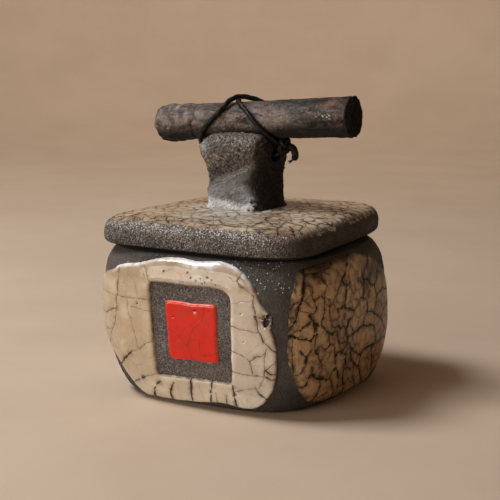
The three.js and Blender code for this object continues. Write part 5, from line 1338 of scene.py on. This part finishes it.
# painted sheen: lighter where light falls along the middle of the stick, on the tops of the left lumps and in a band on
# the left
painted_sheen = 0.62 * smooth(X, 2, 9) * smooth(X, 34, 18) * smooth(zz, -5, -1) * smooth(zz, 6.5, 2.5) * np.clip(0.75 + 0.5 * noise(allrows, 3, 126), 0, 1)
painted_sheen = np.maximum(painted_sheen, 0.62 * smooth(X, -14, -22) * smooth(zz, -4, 0) * smooth(lump_all + 0.5 * noise(allrows, 1.1, 141), -0.5, 0.5))
painted_sheen = np.maximum(painted_sheen * (1 - 0.6 * smooth(zz, 4.2, 6.0) * smooth(X, -12, -18)), 0.6 * np.exp(-(((zz - 2.0) / 1.7) ** 2)) * smooth(X, -14, -20) * np.clip(0.75 + 0.6 * noise(allrows, 2.4, 144), 0, 1))
bare = 0.95 * np.exp(-(((X - 43.5) / 5.5) ** 2 + ((Z3 - stick_z(X) - 5.6) / 1.3) ** 2)) * (Y < 0) * np.clip(0.7 + 0.8 * noise(allrows, 1.8, 121), 0, 1)
bare = np.maximum(bare, 0.6 * np.exp(-((X - 46.7) / 1.5) ** 2) * np.exp(-((Z3 - stick_z(X) + 0.5) / 4.0) ** 2) * (Y < 0) * np.clip(0.6 + 0.9 * noise(allrows, 1.5, 122), 0, 1))
bare = np.maximum(bare, 0.35 * smooth(noise(allrows, 6, 123), 0.35, 0.9))
flecks = 0.8 * np.exp(-(((X - 41) / 4.0) ** 2 + ((Z3 - stick_z(X) - 0.8) / 1.0) ** 2)) * (Y < 0) * (noise(allrows, 0.9, 124) > 0.18)
flecks = np.maximum(flecks, 0.35 * np.exp(-((X + 34.5) ** 2 + (Z3 - stick_z(X) - 7.2) ** 2) / 1.6) * (Y < 0))
k = np.arange(side)
end = len(allrows)
allrows = np.concatenate([allrows, [allrows[:side].mean(0) - stick_dir * 0.05, allrows[(rows_n - 1) * side:].mean(0)]])
quads = grid_quads(rows_n, side)
caps = np.concatenate([np.stack([(k + 1) % side, k, np.full(side, end)], 1), np.stack([(rows_n - 1) * side + k, (rows_n - 1) * side + (k + 1) % side, np.full(side, end + 1)], 1)])
# turn the faces outward
v0 = allrows[quads[:, 0]]
nrm = np.cross(allrows[quads[:, 1]] - v0, allrows[quads[:, 3]] - v0)
mid = allrows[quads].mean(1)
axis_pt = STICK_LEFT + stick_dir * ((mid - STICK_LEFT) @ stick_dir)[:, None]
if np.mean(np.einsum("ij,ij->i", nrm, mid - axis_pt)) < 0:
    quads, caps = quads[:, ::-1], caps[:, ::-1]
piece("handle_stick_wood", allrows, quads, caps, "lid", "handle_stick", WOOD, {"char_and_shade": pad(char_and_shade), "bare": pad(bare), "pale": pad(flecks), "painted_sheen": pad(painted_sheen)})


# ---------------------------------------------------------------------- cord
def cord_material():
    n = Nodes("waxed_cord")
    fibre = n.noise(2600, 3, 0.6, 0.5)
    colour = n.mix(n.step(fibre, 0.35, 0.75), (0.002, 0.002, 0.0022, 1), (0.01, 0.0095, 0.009, 1))
    wax = n.noise(300, 3, 0.6)
    colour = n.mix(n.step(wax, 0.6, 0.8, 0, 0.15), colour, rgb(50, 48, 47))
    rough = n.step(wax, 0.3, 0.7, 0.6, 0.36)
    normal = n.bump(fibre, 0.5, 0.0002)
    return n.done(colour, rough, normal, 0.26)


CORD = cord_material()


def twisted(path, radius=0.95, sides=20, lobes=3, pitch=4.2, depth=0.16, taper=(True, True)):
    """A laid cord along a path: plies as lobes that turn round the axis. Returns verts, quads, caps."""
    P = resample(path, 0.32)
    n = len(P)
    tang = unit(np.gradient(P, axis=0))
    ref = np.cross(tang[0], [0.3, 0.2, 0.93])
    ref = unit(ref[None])[0]
    frames = []
    for i in range(n):
        ref = ref - tang[i] * (ref @ tang[i])
        ref = ref / np.linalg.norm(ref)
        frames.append(ref.copy())
    u_ = np.array(frames)
    w_ = np.cross(tang, u_)
    at = np.arange(n) * 0.32
    a = np.arange(sides) / sides * 2 * np.pi
    A, S_ = np.meshgrid(a, at)
    r = radius * (1 - depth * (1 - np.abs(np.cos(lobes / 2 * (A + 2 * np.pi * S_ / (pitch * lobes))))))
    r *= 1 + 0.05 * noise(np.c_[P, ][:, :3], 3.0, 131)[:, None]
    if taper[0]:
        r *= np.sqrt(np.clip(1 - (1 - np.clip(S_ / radius, 0.02, 1)) ** 2, 0, 1))
    if taper[1]:
        r *= np.sqrt(np.clip(1 - (1 - np.clip((at[-1] - S_) / radius, 0.02, 1)) ** 2, 0, 1))
    V = P[:, None] + u_[:, None] * (r * np.cos(A))[..., None] + w_[:, None] * (r * np.sin(A))[..., None]
    V = V.reshape(-1, 3)
    k = np.arange(sides)
    e = len(V)
    V = np.concatenate([V, P[:1], P[-1:]])
    caps = np.concatenate([np.stack([(k + 1) % sides, k, np.full(sides, e)], 1), np.stack([(n - 1) * sides + k, (n - 1) * sides + (k + 1) % sides, np.full(sides, e + 1)], 1)])
    return V, grid_quads(n, sides), caps


def joined(parts):
    V, Q, C, base = [], [], [], 0
    for v, q, c in parts:
        V.append(v)
        Q.append(q + base)
        C.append(c + base)
        base += len(v)
    return np.concatenate(V), np.concatenate(Q), np.concatenate(C)


def around(x, deg, rho):
    t_ = math.radians(deg)
    return [x, -(rho - 0.45) * math.sin(t_), stick_z(x) + (rho - 0.45) * math.cos(t_)]


H = HOLE_Z
route = [
    [16.3, -0.6, 104.3], [15.2, -1.1, 103.1], [13.2, -1.25, H], [8, -1.25, H], [0, -1.25, H], [-10, -1.25, H], [-17.5, -1.3, H],
    [-20.6, -1.9, 103.6], [-22.0, -3.6, 106.2], around(-21.4, 142, 9.9), around(-18.9, 117, 9.65), around(-16.4, 100, 9.6), around(-14.1, 86, 9.6),
    around(-11.4, 70, 9.65), around(-9.0, 50, 9.9), around(-7.3, 27, 10.3), around(-5.0, 2, 10.75), around(-1.5, -15, 10.5), around(3.1, -38, 9.9),
    around(6.5, -65, 9.65), around(9.5, -92, 9.6), around(12.0, -118, 9.65), around(14.6, -140, 9.9), [16.6, 5.6, 107.0], [16.4, 3.6, 104.4],
    [14.8, 1.8, 102.9], [12.5, 1.25, H], [0, 1.25, H], [-12, 1.25, H], [-18, 1.3, H],
    [-20.8, 1.9, 103.6], [-22.2, 3.8, 106.2], around(-21.8, -142, 9.9), around(-19.5, -117, 9.65), around(-17, -98, 9.6), around(-14.2, -78, 9.6),
    around(-11.0, -55, 9.6), around(-8.2, -30, 9.4), around(-5.2, 0, 9.2), around(-2.4, 30, 9.4), around(1.3, 52, 9.6), around(4.7, 72, 9.6),
    around(7.6, 92, 9.6), around(11.0, 117, 9.75), around(13.9, 140, 10.0), [15.4, -4.0, 108.6], [16.2, -2.2, 107.6],
]
V, Q, C = twisted(catmull(route, 14), 1.16)
piece("lashing_cord_laid", V, Q, C, "lid", "lashing_cord", CORD)
tt = np.linspace(0, 2 * np.pi, 90)
knot = np.stack([np.sin(tt) + 2 * np.sin(2 * tt), np.cos(tt) - 2 * np.cos(2 * tt), -1.5 * np.sin(3 * tt)], 1) * np.array([0.8, 0.95, 0.95])
knot = knot[:, [2, 0, 1]] + np.array([16.9, 0.2, 107.0])
V, Q, C = twisted(knot, 1.4, taper=(False, False))
piece("cord_knot_tied", V, Q, C, "lid", "cord_knot", CORD)
tail = catmull([[17.6, 0.8, 105.6], [19.0, 1.5, 105.9], [20.4, 2.2, 105.4], [21.2, 2.7, 103.8], [21.2, 2.8, 101.8], [20.2, 2.4, 100.4]], 12)
beside = tail + np.array([0.35, -0.9, 0.5])
parts = [twisted(tail, 1.6), twisted(beside[:-6], 1.5)]
for k in range(7):
    a = RNG.uniform(-1, 1, 3)
    tip = tail[-1] + np.array([-0.9 - 0.4 * a[0], 0.7 * a[1] - 0.6, -0.9 + 0.6 * a[2]])
    parts.append(twisted(catmull([tail[-4], tail[-1] * 0.6 + tip * 0.4 + 0.15 * a, tip + np.array([-0.5, -0.3, 0.2 * a[1]])], 8), 0.2, 6, 2, 2, 0.05))
V, Q, C = joined(parts)
piece("cord_tail_a_frayed", V, Q, C, "lid", "cord_tail_a", CORD)
tail = catmull([[17.4, 1.2, 105.6], [16.6, 1.4, 103.6], [15.4, 1.5, 101.8], [14.7, 1.6, 100.2], [14.4, 1.7, 98.8]], 12)
parts = [twisted(tail, 0.95)]
for k in range(5):
    a = RNG.uniform(-1, 1, 3)
    tip = tail[-1] + np.array([0.5 * a[0] - 0.3, 0.5 * a[1], -0.7 - 0.3 * a[2]])
    parts.append(twisted(catmull([tail[-4], tail[-1] * 0.5 + tip * 0.5, tip], 8), 0.2, 6, 2, 2, 0.05))
V, Q, C = joined(parts)
piece("cord_tail_b_frayed", V, Q, C, "lid", "cord_tail_b", CORD)

# -------------------------------------------------------------------- studio
floor_mesh = bpy.data.meshes.new("studio_floor")
seg = 96
prof = [(0.02, 0), (0.2, 0), (0.5, 0), (0.9, 0), (1.2, 0), (1.4, 0.03), (1.55, 0.12), (1.66, 0.3), (1.7, 0.6), (1.72, 1.6)]
fv = [(r * math.cos(2 * math.pi * i / seg), r * math.sin(2 * math.pi * i / seg), z) for r, z in prof for i in range(seg)] + [(0, 0, 0)]
ff = [(r * seg + i, r * seg + (i + 1) % seg, (r + 1) * seg + (i + 1) % seg, (r + 1) * seg + i) for r in range(len(prof) - 1) for i in range(seg)]
ff += [((i + 1) % seg, i, len(prof) * seg) for i in range(seg)]
floor_mesh.from_pydata(fv, [], ff)
floor_mesh.polygons.foreach_set("use_smooth", np.ones(len(floor_mesh.polygons), bool))
floor = bpy.data.objects.new("studio_floor", floor_mesh)
scene.collection.objects.link(floor)
n = Nodes("studio_floor")
shade = n.noise(9, 4, 0.6)
floor_mesh.materials.append(n.done(n.mix(n.step(shade, 0.3, 0.7), rgb(204, 188, 170), rgb(198, 181, 163)), n.step(shade, 0.3, 0.7, 0.9, 0.8), n.bump(n.noise(500, 3), 0.1, 0.0004), 0.2))

world = bpy.data.worlds.new("studio")
world.use_nodes = True
world.node_tree.nodes["Background"].inputs[0].default_value = (1.0, 0.5, 0.22, 1)
world.node_tree.nodes["Background"].inputs[1].default_value = 0.07
scene.world = world


def lamp(name, place, aim, watts, size, colour):
    data = bpy.data.lights.new(name, "AREA")
    data.energy, data.color = watts, colour
    data.shape, data.size, data.size_y = "RECTANGLE", size[0], size[1]
    ob = bpy.data.objects.new(name, data)
    ob.location = place
    ob.rotation_euler = (Vector(aim) - Vector(place)).to_track_quat("-Z", "Y").to_euler()
    scene.collection.objects.link(ob)


lamp("key", (-0.50, -0.29, 0.95), (0, 0, 0.06), 9.2, (0.34, 0.34), (1.0, 0.98, 0.95))
lamp("front", (-0.42, -1.05, 0.27), (0, 0, 0.07), 6.4, (0.8, 0.5), (1.0, 0.89, 0.78))
lamp("backdrop", (-0.50, 0.80, 1.0), (-0.85, 1.5, 0.2), 4.2, (1.0, 0.3), (1.0, 0.86, 0.73))

camera = bpy.data.objects.new("camera", bpy.data.cameras.new("camera"))
camera.data.lens, camera.data.sensor_width = 81.0, 36.0
camera.data.clip_start, camera.data.clip_end = 0.02, 30.0
az, el = math.radians(30.0), math.radians(10.0)
back = Vector((math.sin(az) * math.cos(el), -math.cos(az) * math.cos(el), math.sin(el)))
target = Vector((0.00037 * math.cos(az), 0.00037 * math.sin(az), 0.05965))
camera.location = target + back * 0.5
camera.rotation_euler = (-back).to_track_quat("-Z", "Y").to_euler()
scene.collection.objects.link(camera)
scene.camera = camera
scene.view_settings.view_transform = "Standard"

bpy.context.view_layer.update()
